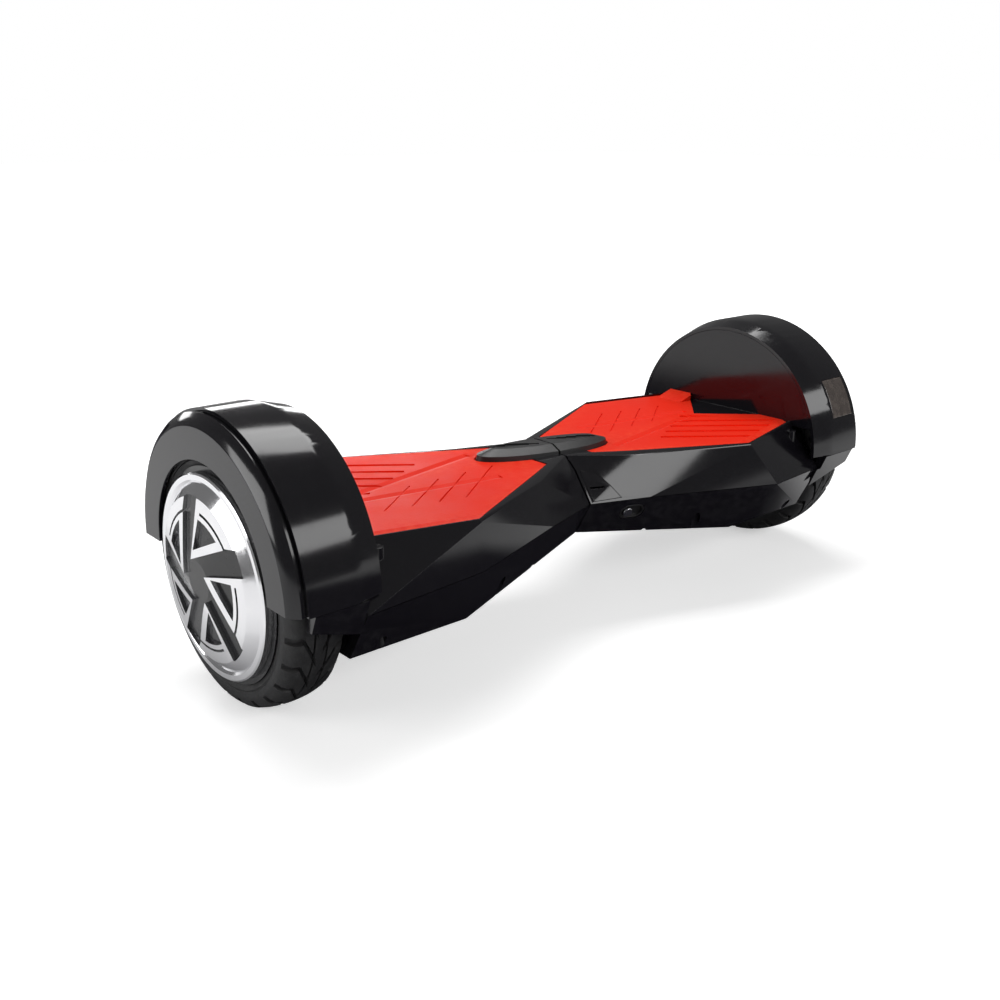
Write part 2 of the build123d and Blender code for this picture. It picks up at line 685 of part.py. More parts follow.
def fender_lens():
    """Smoked lamp lens, flush with the tread face, with a ledge behind it."""
    inner = FENDER_RADIUS - FENDER_WALL
    ring = revolve_x([(TREAD_FACE_START_X, inner), (TREAD_FACE_START_X, FENDER_RADIUS),
                      (TREAD_FACE_END_X, FENDER_RADIUS), (TREAD_FACE_END_X, inner)], 180.0, 0.0, FENDER_Z)
    return ring & lens_zone(FIT_GAP)


def fender_side_ring():
    """Outer face of the fender: a spigot inside the arch, a rounded shoulder and a flat face."""
    spigot = FENDER_RADIUS - FENDER_WALL - FIT_GAP
    outer_x = SIDE_RING_OUTER_X
    join_x = TREAD_FACE_END_X + FIT_GAP
    profile = [
        (join_x - SPIGOT_WIDTH, spigot),
        (join_x, spigot),
        (join_x + GROOVE_WIDTH, spigot),
        (join_x + GROOVE_WIDTH, FENDER_RADIUS - SIDE_RING_STEP),
        (outer_x - 1.3 * SIDE_RING_STEP, FENDER_RADIUS - 3 * SIDE_RING_STEP),
        (outer_x, FENDER_RADIUS - SIDE_RING_ROUND),
        (outer_x, SIDE_RING_INNER_RADIUS),
        (outer_x - FENDER_WALL, SIDE_RING_INNER_RADIUS),
        (outer_x - FENDER_WALL, FENDER_RADIUS - SIDE_RING_ROUND + 1),
        (join_x + SIDE_RING_STEP, spigot - FENDER_WALL),
        (join_x - SPIGOT_WIDTH, spigot - FENDER_WALL),
    ]
    return revolve_x(profile, 180.0, 0.0, FENDER_Z)


# ---------- wheel ----------
def tyre():
    """Tyre section turned about the axle."""
    half = TYRE_WIDTH / 2
    radius = TYRE_DIAMETER / 2
    mid = TYRE_CENTRE_X
    wall_foot = BEAD_RADIUS + SIDEWALL_FOOT
    wall_top = radius - CROWN_WIDTH
    edge = radius - SHOULDER_DROP
    points = [
        (mid - half + BEAD_TUCK, BEAD_RADIUS), (mid - half, wall_foot), (mid - half, wall_top),
        (mid - half + BEAD_TUCK, edge), (mid - half + CROWN_WIDTH, radius),
        (mid + half - CROWN_WIDTH, radius), (mid + half - BEAD_TUCK, edge), (mid + half, wall_top),
        (mid + half, wall_foot), (mid + half - BEAD_TUCK, BEAD_RADIUS),
    ]
    return revolve_x(points)


def hub_drum():
    """Rim and motor drum in one casting, with a lip either side of the tyre bead."""
    half = TYRE_WIDTH / 2
    x0 = TYRE_CENTRE_X - half + 1
    x1 = TYRE_CENTRE_X + half - 1
    seat = BEAD_RADIUS - SEAT_GAP
    lip = BEAD_RADIUS + DRUM_LIP
    profile = [
        (x0, DRUM_INNER_RADIUS), (x0, lip), (x0 + 1.0, lip), (x0 + 2.2, seat),
        (x1 - 2.2, seat), (x1 - 1.0, lip), (x1, lip), (x1, DRUM_INNER_RADIUS),
    ]
    return revolve_x(profile)


def hub_inner_cover():
    """Cover plate on the body side, with its bearing boss."""
    x0 = HUB_INNER_X
    x1 = x0 + HUB_COVER_THICKNESS
    plate = rod_x(x0, x1, BEAD_RADIUS + DRUM_LIP)
    plate += rod_x(x0, x1 + BEARING_WIDTH, BEARING_OUTER_RADIUS + WALL)
    plate -= rod_x(x1, x1 + BEARING_WIDTH + 1, BEARING_OUTER_RADIUS + RUNNING_FIT)
    return plate - rod_x(x0 - 1, x1 + 1, BEARING_BORE_RADIUS + 1)


def cone_x(radius, depth=0.0):
    """Station of the coned wheel face at a radius, a depth below its bright surface."""
    return OVERALL_LENGTH / 2 + CONE_RISE - CONE_SLOPE * radius - depth


def hub_outer_cover():
    """Coned black cover on the outside, its skirt inside the drum, with the bearing boss."""
    end = TYRE_CENTRE_X + TYRE_WIDTH / 2 - 1
    start = end - HUB_COVER_THICKNESS
    skirt = DRUM_INNER_RADIUS - SEAT_GAP
    wall = SPOKE_HEIGHT + CONE_WALL
    inner_rim = HUB_RIM_RADIUS - CONE_WALL
    face_x = cone_x(CONE_TIP_RADIUS, SPOKE_HEIGHT)
    outside = cone_x(HUB_RIM_RADIUS, SPOKE_HEIGHT)
    bowl = revolve_x([
        (start, skirt), (end + HUB_COVER_THICKNESS, skirt), (outside, HUB_RIM_RADIUS),
        (face_x, CONE_TIP_RADIUS), (face_x, 0.0), (cone_x(CONE_TIP_RADIUS, wall), 0.0),
        (cone_x(CONE_TIP_RADIUS, wall), CONE_TIP_RADIUS), (cone_x(inner_rim, wall), inner_rim),
        (end, skirt - CONE_WALL), (start, skirt - CONE_WALL),
    ])
    boss_start = start - BEARING_WIDTH + 2
    inside_x = cone_x(CONE_TIP_RADIUS, SPOKE_HEIGHT + 1)
    boss = rod_x(boss_start, face_x - 1, BEARING_OUTER_RADIUS + WALL)
    boss -= rod_x(boss_start - 1, end - 1.5, BEARING_OUTER_RADIUS + RUNNING_FIT)
    boss -= rod_x(boss_start - 1, cone_x(CONE_TIP_RADIUS, wall), BEARING_OUTER_RADIUS - 2)
    boss &= revolve_x([
        (0.0, 0.0), (0.0, FAR), (cone_x(FAR, SPOKE_HEIGHT + 1), FAR), (inside_x, CONE_TIP_RADIUS),
        (inside_x, 0.0),
    ])
    return bowl + boss


def bearing_spans():
    """Where the two hub bearings sit along the axle."""
    inner = HUB_INNER_X + HUB_COVER_THICKNESS + SEAT_GAP
    outer = TYRE_CENTRE_X + TYRE_WIDTH / 2 - 1 - HUB_COVER_THICKNESS - BEARING_WIDTH + 1.2
    return ((inner, inner + BEARING_WIDTH), (outer, outer + BEARING_WIDTH))


def motor_axle():
    """Stepped hollow axle that carries the stator."""
    (_, shoulder_start), (shoulder_end, tip) = bearing_spans()
    axle = rod_x(AXLE_INNER_X, tip, BEARING_BORE_RADIUS)
    axle += rod_x(shoulder_start + SEAT_GAP, shoulder_end - SEAT_GAP, AXLE_SHOULDER_RADIUS)
    return axle - rod_x(AXLE_INNER_X - 1, shoulder_start - 2, AXLE_CABLE_RADIUS)


def hub_bearings():
    """Two sealed ball bearings, each an outer and an inner race bridged by its seals."""
    pair = []
    for x0, x1 in bearing_spans():
        ring = rod_x(x0, x1, BEARING_OUTER_RADIUS) - rod_x(x0 - 1, x1 + 1, BEARING_BORE_RADIUS + RUNNING_FIT)
        seal = rod_x(x0 - 1, x0 + SEAL_DEPTH, BEARING_OUTER_RADIUS - RACE_WALL)
        groove = seal - rod_x(x0 - 1, x0 + 1, BEARING_BORE_RADIUS + RACE_WALL)
        pair.append(ring - groove)
    return Compound(pair)


def magnet_ring():
    """Ring of magnets inside the drum, with a slit between neighbours."""
    half = STATOR_LENGTH / 2 + 2
    outer = DRUM_INNER_RADIUS - SEAT_GAP
    ring = rod_x(TYRE_CENTRE_X - half, TYRE_CENTRE_X + half, outer)
    ring -= rod_x(TYRE_CENTRE_X - half - 1, TYRE_CENTRE_X + half + 1, outer - MAGNET_THICKNESS)
    slits = []
    gap = Box(2 * half + 2, MAGNET_SLIT, MAGNET_THICKNESS)
    for number in range(MAGNET_COUNT):
        slit = Pos(TYRE_CENTRE_X, 0, outer - MAGNET_THICKNESS) * gap
        slits.append(Rot(360.0 * number / MAGNET_COUNT, 0, 0) * slit)
    return ring - slits


def stator_core():
    """Laminated core: hub, spokes, yoke and wound teeth with tips."""
    core = Circle(YOKE_OUTER) - Circle(YOKE_INNER)
    core += Circle(AXLE_SHOULDER_RADIUS + ARM_WIDTH) - Circle(AXLE_SHOULDER_RADIUS + RUNNING_FIT)
    arm = Rectangle(YOKE_INNER - AXLE_SHOULDER_RADIUS, ARM_WIDTH)
    for number in range(ARM_COUNT):
        turn = Rot(0, 0, 360.0 * number / ARM_COUNT)
        core += turn * Pos((AXLE_SHOULDER_RADIUS + YOKE_INNER) / 2 + 2, 0) * arm
    tip_ring = Circle(STATOR_RADIUS) - Circle(STATOR_RADIUS - TOOTH_TIP_DEPTH)
    for number in range(SLOT_COUNT):
        turn = Rot(0, 0, 360.0 * number / SLOT_COUNT)
        tooth = Rectangle(STATOR_RADIUS - YOKE_OUTER, TOOTH_WIDTH)
        core += turn * Pos((YOKE_OUTER + STATOR_RADIUS) / 2 - 1, 0) * tooth
        core += tip_ring & (turn * Pos(STATOR_RADIUS, 0) * Rectangle(TOOTH_TIP_WIDTH, TOOTH_TIP_WIDTH))
    solid = extrude(core, amount=STATOR_LENGTH)
    return Pos(TYRE_CENTRE_X - STATOR_LENGTH / 2, 0, 0) * Rot(0, 90, 0) * solid


def stator_windings():
    """One copper coil around each tooth."""
    coils = []
    length = STATOR_LENGTH + 2 * COIL_OVERHANG
    coil_radius = (YOKE_OUTER + STATOR_RADIUS - TOOTH_TIP_DEPTH) / 2
    for number in range(SLOT_COUNT):
        coil = Box(length, COIL_WIDTH, COIL_DEPTH)
        coil -= Box(STATOR_LENGTH + 2 * SEAT_GAP, TOOTH_WIDTH + 2 * SEAT_GAP, COIL_DEPTH + 1)
        coils.append(Rot(360.0 * number / SLOT_COUNT, 0, 0) * Pos(TYRE_CENTRE_X, 0, -coil_radius) * coil)
    return Compound(coils)


def wheel_face(radius, angle):
    """A point (y, z) of the wheel face; angles start at the front and go up over the top."""
    return (-radius * cos(radians(angle)), radius * sin(radians(angle)))


def face_arc(radius, start, end):
    """Points along an arc of the wheel face."""
    steps = max(2, round(abs(end - start) / ARC_STEP))
    return [wheel_face(radius, start + (end - start) * step / steps) for step in range(steps + 1)]


def face_sheet(points):
    """A flat sheet through (y, z) points, facing outwards."""
    return flat([(0, y, z) for y, z in points], (1, 0, 0))


def spoke_sheet():
    """One spoke about angle zero: a hooked loop, a slot and the crescent that joins it to the rim."""
    first, last = -SPOKE_HALF_SPAN, SPOKE_HALF_SPAN
    tip = wheel_face(SPOKE_TIP_RADIUS, -SPOKE_TIP_LEAN)
    rim = COVER_OPEN_RADIUS + 1
    slot = LOOP_RADIUS + LOOP_GROOVE
    sheet = face_sheet([tip] + face_arc(rim, first, last + CRESCENT_LEAN) + [wheel_face(slot, last),
                                                                           wheel_face(LOOP_RADIUS, last)])
    pocket = LOOP_RADIUS - LOOP_BAND
    lean = degrees(LOOP_BAND / pocket)
    inner_tip = wheel_face(SPOKE_TIP_RADIUS + 2 * LOOP_BAND, -SPOKE_TIP_LEAN + 2.2 * lean)
    sheet -= face_sheet([inner_tip] + face_arc(pocket, first + lean, last - 2.5 * lean))
    sheet -= face_sheet(face_arc(LOOP_RADIUS, first + 1.5 * lean, last + 2)
                        + face_arc(slot, last + 2, first + 1.5 * lean))
    return sheet


def wheel_cover():
    """Bright turbine trim over the coned cover: outer lip, sloping ring and hooked spokes."""
    back_x = TYRE_CENTRE_X + TYRE_WIDTH / 2 - 1 + SEAT_GAP
    face_x = OVERALL_LENGTH / 2 - SEAT_GAP
    lip_inner = COVER_RADIUS - COVER_LIP_WIDTH
    under = SPOKE_HEIGHT - SEAT_GAP
    trim = revolve_x([
        (back_x, DRUM_INNER_RADIUS + SEAT_GAP), (back_x, COVER_RADIUS - 0.6), (back_x + 2, COVER_RADIUS),
        (face_x - 1, COVER_RADIUS), (face_x, COVER_RADIUS - 1.2), (face_x, lip_inner),
        (face_x - 1.5, lip_inner - 2),
        (cone_x(CONE_EDGE_RADIUS), CONE_EDGE_RADIUS), (cone_x(0.0), 0.0), (cone_x(0.0, under), 0.0),
        (cone_x(HUB_RIM_RADIUS + SEAT_GAP, under), HUB_RIM_RADIUS + SEAT_GAP),
        (back_x + HUB_COVER_THICKNESS, DRUM_INNER_RADIUS + SEAT_GAP),
    ])
    spoke = Pos(back_x, 0, 0) * extrude(spoke_sheet(), amount=2 * CONE_RISE, dir=(1, 0, 0))
    pattern = rod_x(back_x - 1, face_x + CONE_RISE, COVER_RADIUS + 1)
    pattern -= rod_x(back_x - 2, FAR, COVER_OPEN_RADIUS)
    for number in range(SPOKE_COUNT):
        turn = SPOKE_START + 360.0 * number / SPOKE_COUNT
        pattern += Rot(-turn, 0, 0) * spoke
    return trim & pattern


# ---------- frame ----------
def chassis(holds_tube):
    """Cast half frame: pivot sleeve, deck plate with rails and the lower half of the axle clamp."""
    bore = TUBE_RADIUS + (HOLE_CLEARANCE / 3 if holds_tube else BUSH_WALL + HOLE_CLEARANCE / 3)
    sleeve_outer = TUBE_RADIUS + BUSH_WALL + SLEEVE_WALL
    sleeve_end = SLEEVE_INNER_X + SLEEVE_LENGTH
    plate_end = AXLE_INNER_X - 1
    half_plate = PLATE_THICKNESS / 2
    frame = rod_x(SLEEVE_INNER_X, sleeve_end, sleeve_outer)
    frame += block(PLATE_START_X, plate_end, -PLATE_HALF_WIDTH, PLATE_HALF_WIDTH, -half_plate, half_plate)
    for side in (-1, 1):
        edge = side * (PLATE_HALF_WIDTH - RAIL_WIDTH / 2)
        frame += block(PLATE_START_X, plate_end, edge - RAIL_WIDTH / 2, edge + RAIL_WIDTH / 2, -half_plate,
                       RAIL_HEIGHT)
    frame += block(plate_end - 1, AXLE_INNER_X + CLAMP_LENGTH, -CLAMP_HALF_WIDTH, CLAMP_HALF_WIDTH,
                   -CLAMP_HEIGHT, -FIT_GAP)
    frame -= rod_x(SLEEVE_INNER_X - 1, TUBE_HALF_LENGTH + 2, bore)
    frame -= rod_x(plate_end, FAR, BEARING_BORE_RADIUS + RUNNING_FIT)
    for x, y in clamp_screw_places():
        frame -= rod_z(-CLAMP_HEIGHT + 2, 0, CLAMP_SCREW_RADIUS + HOLE_CLEARANCE, x, y)
    for x, y in gyro_posts():
        frame += rod_z(half_plate - 1, GYRO_Z, POST_RADIUS, x, y)
    return frame


def clamp_screw_places():
    """The four screws of the axle clamp."""
    quarter = CLAMP_LENGTH / 4
    middle = AXLE_INNER_X + CLAMP_LENGTH / 2
    return [(middle + dx, dy) for dx in (-quarter, quarter) for dy in (-CLAMP_SCREW_Y, CLAMP_SCREW_Y)]


def gyro_posts():
    """The posts under the gyro board."""
    reach = GYRO_WIDTH / 2 - 2 * POST_RADIUS
    return [(GYRO_X + dx, dy) for dx in (-reach, reach) for dy in (-POST_Y, POST_Y)]


def axle_clamp():
    """Upper half of the axle clamp."""
    cap = block(AXLE_INNER_X, AXLE_INNER_X + CLAMP_LENGTH, -CLAMP_HALF_WIDTH, CLAMP_HALF_WIDTH,
                FIT_GAP, CLAMP_HEIGHT)
    cap -= rod_x(0, FAR, BEARING_BORE_RADIUS + RUNNING_FIT)
    for x, y in clamp_screw_places():
        cap -= rod_z(0, FAR, CLAMP_SCREW_RADIUS + HOLE_CLEARANCE, x, y)
    return cap


def fasteners():
    """Clamp screws and shell screws of one half."""
    screws = []
    for x, y in clamp_screw_places():
        head = rod_z(CLAMP_HEIGHT, CLAMP_HEIGHT + CLAMP_HEAD, CLAMP_HEAD_RADIUS, x, y)
        socket = extrude(RegularPolygon(CLAMP_HEAD_RADIUS / 2, 6), amount=-CLAMP_HEAD / 2)
        head -= Pos(x, y, CLAMP_HEIGHT + CLAMP_HEAD) * socket
        screws.append(head + rod_z(-CLAMP_HEIGHT + 3, CLAMP_HEIGHT + 1, CLAMP_SCREW_RADIUS, x, y))
    for x, y in screw_places():
        head = rod_z(SCREW_SEAT_Z - SCREW_HEAD, SCREW_SEAT_Z - SEAT_GAP, SCREW_HEAD_RADIUS, x, y)
        for turn in (0, 90):
            cross = Box(SCREW_CROSS, SCREW_CROSS / 4, SCREW_HEAD)
            head -= Pos(x, y, SCREW_SEAT_Z - SCREW_HEAD) * Rot(0, 0, turn) * cross
        screws.append(head + rod_z(SCREW_SEAT_Z - 1, SCREW_SEAT_Z + SCREW_LENGTH, SCREW_RADIUS, x, y))
    return Compound(screws)


def pivot_tube():
    """Steel tube through the waist: fixed in the left frame, free to turn in the right one."""
    tube = rod_x(-TUBE_HALF_LENGTH, TUBE_HALF_LENGTH, TUBE_RADIUS)
    tube -= rod_x(-TUBE_HALF_LENGTH - 1, TUBE_HALF_LENGTH + 1, TUBE_RADIUS - TUBE_WALL)
    groove = rod_x(CIRCLIP_X, CIRCLIP_X + CIRCLIP_THICKNESS, TUBE_RADIUS + 1)
    groove -= rod_x(0, 2 * CIRCLIP_X + CIRCLIP_THICKNESS, TUBE_RADIUS - CIRCLIP_BITE)
    return tube - groove


def pivot_bush():
    """Plastic bush pressed in the right sleeve, with a flange towards the left half."""
    end = TUBE_HALF_LENGTH - 2
    start = SLEEVE_INNER_X - BUSH_WALL
    bush = rod_x(start, end, TUBE_RADIUS + BUSH_WALL)
    bush += rod_x(start, SLEEVE_INNER_X - SEAT_GAP, TUBE_RADIUS + BUSH_WALL + BUSH_FLANGE)
    return bush - rod_x(0, FAR, TUBE_RADIUS + RUNNING_FIT)


def pivot_circlip():
    """Open ring in the tube's groove, which keeps the halves together."""
    x0 = CIRCLIP_X + SEAT_GAP
    x1 = CIRCLIP_X + CIRCLIP_THICKNESS - SEAT_GAP
    bite = CIRCLIP_BITE - SEAT_GAP
    ring = rod_x(x0, x1, TUBE_RADIUS + bite) - rod_x(0, x1 + 1, TUBE_RADIUS - bite)
    return ring - block(0, x1 + 1, -CIRCLIP_OPENING / 2, CIRCLIP_OPENING / 2, 0, FAR)


# ---------- electronics ----------
def gyro_board():
    """Sensor board with two light gates under the plungers."""
    board = block(GYRO_X - GYRO_WIDTH / 2, GYRO_X + GYRO_WIDTH / 2, -GYRO_LENGTH / 2, GYRO_LENGTH / 2,
                  GYRO_Z, GYRO_Z + BOARD_THICKNESS)
    top = GYRO_Z + BOARD_THICKNESS
    for y in (-PLUNGER_Y, PLUNGER_Y):
        gate = block(GYRO_X - GATE_HALF, GYRO_X + GATE_HALF, y - GATE_HALF, y + GATE_HALF,
                     top - OVERLAP, top + GATE_HEIGHT)
        board += gate - block(GYRO_X - GATE_SLOT / 2, GYRO_X + GATE_SLOT / 2, y - 2 * GATE_HALF,
                              y + 2 * GATE_HALF, top + BOARD_THICKNESS, FAR)
    board += block(GYRO_X - CHIP_HALF, GYRO_X + CHIP_HALF, -CHIP_HALF, CHIP_HALF, top - OVERLAP,
                   top + BOARD_THICKNESS)
    plug_end = GYRO_X - CHIP_HALF - PLUG_DEPTH / 2
    board += block(plug_end - PLUG_DEPTH, plug_end, -PLUG_HALF_LENGTH, PLUG_HALF_LENGTH, top - OVERLAP,
                   top + PLUG_DEPTH)
    return board


def foot_plunger(side):
    """Switch post under one end of the pad, with a blade that drops into its light gate."""
    y = side * PLUNGER_Y
    head_top = PAD_SEAT_Z - 2 * SEAT_GAP
    gate_top = GYRO_Z + BOARD_THICKNESS + GATE_HEIGHT
    post = rod_z(head_top - PLUNGER_HEAD, head_top, PLUNGER_HEAD_RADIUS, GYRO_X, y)
    post += rod_z(gate_top + PLUNGER_TRAVEL + FIT_GAP, head_top - 1, PLUNGER_RADIUS, GYRO_X, y)
    half_blade = BLADE_THICKNESS / 2
    return post + block(GYRO_X - half_blade, GYRO_X + half_blade, y - BLADE_WIDTH / 2, y + BLADE_WIDTH / 2,
                        gate_top - BLADE_THICKNESS, gate_top + PLUNGER_TRAVEL + 1)


def battery_pack():
    """Shrink-wrapped lithium pack under the left frame plate."""
    z0 = BATTERY_TOP_Z - BATTERY_HEIGHT
    pack = block(BATTERY_START_X, BATTERY_START_X + BATTERY_LENGTH, -BATTERY_HALF_WIDTH, BATTERY_HALF_WIDTH,
                 z0, BATTERY_TOP_Z)
    return fillet(pack.edges().filter_by(Axis.X), radius=BATTERY_ROUND)


def battery_strap():
    """Metal strap that carries the pack under the frame."""
    x0 = BATTERY_START_X + BATTERY_LENGTH / 2 - STRAP_WIDTH / 2
    inner = BATTERY_HALF_WIDTH + BATTERY_SEAT
    outer = inner + STRAP_THICKNESS
    low = BATTERY_TOP_Z - BATTERY_HEIGHT - BATTERY_SEAT
    top = -PLATE_THICKNESS / 2 - SEAT_GAP
    strap = block(x0, x0 + STRAP_WIDTH, -outer, outer, low - STRAP_THICKNESS, top)
    strap -= block(x0 - 1, x0 + STRAP_WIDTH + 1, -inner, inner, low, BATTERY_TOP_Z + BATTERY_SEAT)
    opening = PLATE_HALF_WIDTH - RAIL_WIDTH
    return strap - block(x0 - 1, x0 + STRAP_WIDTH + 1, -opening, opening, BATTERY_TOP_Z, 0)


def main_board():
    """Motor control board hung under the right frame plate."""
    half_x = MAIN_BOARD_LENGTH / 2
    half_y = MAIN_BOARD_WIDTH / 2
    low = MAIN_BOARD_Z
    board = block(MAIN_BOARD_X - half_x, MAIN_BOARD_X + half_x, -half_y, half_y, low, low + BOARD_THICKNESS)
    for dx in (-half_x + STANDOFF_INSET, half_x - STANDOFF_INSET):
        for dy in (-half_y + STANDOFF_INSET, half_y - STANDOFF_INSET):
            board += rod_z(low, -PLATE_THICKNESS / 2 - SEAT_GAP, STANDOFF_INSET / 2, MAIN_BOARD_X + dx, dy)
    root = low + OVERLAP
    first = MAIN_BOARD_X - half_x + 3 * STANDOFF_INSET
    for number in range(CAPACITOR_COUNT):
        place = first + CAPACITOR_PITCH * number
        board += rod_z(low - CAPACITOR_HEIGHT, root, CAPACITOR_RADIUS, place, half_y - CAPACITOR_PITCH)
    sink_y = -half_y + STANDOFF_INSET + HEAT_SINK_WIDTH
    board += block(first, first + HEAT_SINK_LENGTH, sink_y - HEAT_SINK_WIDTH, sink_y,
                   low - CAPACITOR_HEIGHT + 2, root)
    for number in range(TRANSISTOR_COUNT):
        left = first + HEAT_SINK_LENGTH * number / TRANSISTOR_COUNT
        board += block(left, left + TRANSISTOR_WIDTH, sink_y - OVERLAP, sink_y + TRANSISTOR_DEPTH,
                       low - CAPACITOR_HEIGHT + 3, root)
    plug_end = MAIN_BOARD_X + half_x - STANDOFF_INSET
    board += block(plug_end - 2 * PLUG_DEPTH, plug_end, -PLUG_HALF_LENGTH, PLUG_HALF_LENGTH,
                   low - PLUG_DEPTH, root)
    return board


def pocket_housing(hole_radius, hole_offset):
    """Sunk bezel in the lower shell, with one bore through its floor."""
    cup = slot_block(POCKET_LENGTH, POCKET_WIDTH, -POCKET_DEPTH + 1, -FIT_GAP)
    trimmed = 2 * BEZEL_WALL
    cup -= slot_block(POCKET_LENGTH - trimmed, POCKET_WIDTH - trimmed, -POCKET_RECESS, POCKET_DEPTH)
    return cup - peg(hole_radius, -2 * POCKET_DEPTH, POCKET_DEPTH, hole_offset)


def power_button():
    """Round button in the right pocket, proud of its floor, with a retaining flange behind."""
    button = peg(BUTTON_RADIUS, BUTTON_TOP - BUTTON_LENGTH, BUTTON_TOP, -BUTTON_OFFSET)
    edge = button.faces().sort_by(lambda face: -face.center().dot(pocket_plane().z_dir))[0].edges()
    button = fillet(edge, radius=BUTTON_ROUND)
    flange_top = -POCKET_DEPTH + 1 - FIT_GAP
    return button + peg(BUTTON_RADIUS + BEZEL_WALL, flange_top - BEZEL_WALL, flange_top, -BUTTON_OFFSET)


def charge_socket():
    """Three-pin charging inlet in the left pocket."""
    front = -POCKET_RECESS + SOCKET_PROUD
    socket = peg(SOCKET_RADIUS, -POCKET_DEPTH - SOCKET_WELL, front, -BUTTON_OFFSET)
    socket -= peg(SOCKET_RADIUS - SOCKET_WALL, front - SOCKET_WELL, front + 1, -BUTTON_OFFSET)
    for number in range(PIN_COUNT):
        angle = radians(360.0 * number / PIN_COUNT)
        across = PIN_CIRCLE * cos(angle) - BUTTON_OFFSET
        place = Pos(across, PIN_CIRCLE * sin(angle), front - SOCKET_WELL / 2)
        socket += pocket_plane().location * place * Cylinder(PIN_RADIUS, SOCKET_WELL)
    return socket


def cap_hinge_offset():
    """Where the hinge pin of the dust cap lies along the pocket."""
    return POCKET_LENGTH / 2 - CAP_HINGE_INSET


def cap_height():
    """Height of the dust cap's middle plane and hinge line over the pocket plane."""
    return -POCKET_RECESS + CAP_LIFT + CAP_THICKNESS / 2


def cap_rod(radius, length):
    """A round rod on the hinge line of the dust cap."""
    rod = Pos(cap_hinge_offset(), 0, cap_height()) * Rot(90, 0, 0) * Cylinder(radius, length)
    return pocket_plane().location * rod


def dust_cap():
    """Rubber flap over the charging inlet, turning on the pin at the end of its pocket."""
    reach = BUTTON_OFFSET + cap_hinge_offset()
    disc = Pos(-BUTTON_OFFSET, 0, cap_height()) * Cylinder(CAP_RADIUS, CAP_THICKNESS)
    arm = Pos(-BUTTON_OFFSET + reach / 2, 0, cap_height()) * Box(reach, CAP_ARM_WIDTH, CAP_THICKNESS)
    flap = pocket_plane().location * disc + pocket_plane().location * arm
    flap += cap_rod(CAP_KNUCKLE_RADIUS, CAP_ARM_WIDTH)
    return flap - cap_rod(CAP_PIN_RADIUS + RUNNING_FIT, 2 * CAP_ARM_WIDTH)


def cap_pin():
    """Hinge pin of the dust cap, held in the walls of the pocket."""
    end_radius = POCKET_WIDTH / 2 - BEZEL_WALL
    past_centre = cap_hinge_offset() + CAP_PIN_RADIUS - (POCKET_LENGTH - POCKET_WIDTH) / 2
    half_length = sqrt(end_radius ** 2 - past_centre ** 2) - SEAT_GAP
    return cap_rod(CAP_PIN_RADIUS, 2 * half_length)


# ---------- build and save ----------
def save(name, shape):
    """Lift a piece to its height over the ground and write it."""
    lifted = Pos(0, 0, AXLE_HEIGHT) * shape
    export_step(lifted, f"parts/{name}.step")
    print(name, len(lifted.solids()), round(sum(s.volume for s in lifted.solids())))


def save_half(side, turn):
    """Write every piece that both halves have."""
    pieces = {
        "top_shell": TOP, "bottom_shell": BOTTOM, "waist_panel": PANEL, "foot_pad": PAD,
        "pivot_cover": HUMP, "fender": ARCH, "fender_side_ring": SIDE_RING, "fender_lamp_lens": LENS,
        "tyre": TYRE, "hub_drum": DRUM, "hub_inner_cover": INNER_COVER, "hub_outer_cover": OUTER_COVER,
        "hub_bearings": BEARINGS, "motor_axle": AXLE, "magnet_ring": MAGNETS, "stator_core": CORE,
        "stator_windings": WINDINGS, "wheel_cover": WHEEL_COVER, "axle_clamp": CLAMP, "screws": SCREWS,
        "gyro_board": GYRO,
    }
    for name, shape in pieces.items():
        save(f"{side}_{name}", turn * shape)


BLANK = shell_blank()
TOP = top_shell(BLANK)
BOTTOM = bottom_shell(BLANK)
PANEL = waist_panel(BLANK)
PAD = foot_pad()
HUMP = pivot_cover()
ARCH = fender_arch()
SIDE_RING = fender_side_ring()
LENS = fender_lens()
TYRE = tyre()
DRUM = hub_drum()
INNER_COVER = hub_inner_cover()
OUTER_COVER = hub_outer_cover()
BEARINGS = hub_bearings()
AXLE = motor_axle()
MAGNETS = magnet_ring()
CORE = stator_core()
WINDINGS = stator_windings()
WHEEL_COVER = wheel_cover()
CLAMP = axle_clamp()
SCREWS = fasteners()
GYRO = gyro_board()

os.makedirs("parts", exist_ok=True)
STAY = Pos(0, 0, 0)
HALF_TURN = Rot(0, 0, 180)
save_half("right", STAY)
save_half("left", HALF_TURN)
save("right_front_plunger", foot_plunger(-1))
save("right_rear_plunger", foot_plunger(1))
save("left_front_plunger", HALF_TURN * foot_plunger(1))
save("left_rear_plunger", HALF_TURN * foot_plunger(-1))
save("right_chassis", chassis(False))
save("left_chassis", HALF_TURN * chassis(True))
save("pivot_tube", pivot_tube())
save("pivot_bush", pivot_bush())
save("pivot_circlip", pivot_circlip())
save("battery_pack", HALF_TURN * battery_pack())
save("battery_strap", HALF_TURN * battery_strap())
save("main_board", main_board())
save("button_housing", pocket_housing(BUTTON_RADIUS + FIT_GAP, -BUTTON_OFFSET))
save("power_button", power_button())
save("charge_housing", HALF_TURN * pocket_housing(SOCKET_RADIUS + SEAT_GAP, -BUTTON_OFFSET))
save("charge_socket", HALF_TURN * charge_socket())
save("dust_cap", HALF_TURN * dust_cap())
save("dust_cap_pin", HALF_TURN * cap_pin())
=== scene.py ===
"""Looks of a two-wheel self balancing board, built round its CAD frame as a set of add-on operators."""
import json
import math

import bmesh
import bpy
from mathutils import Matrix, Vector


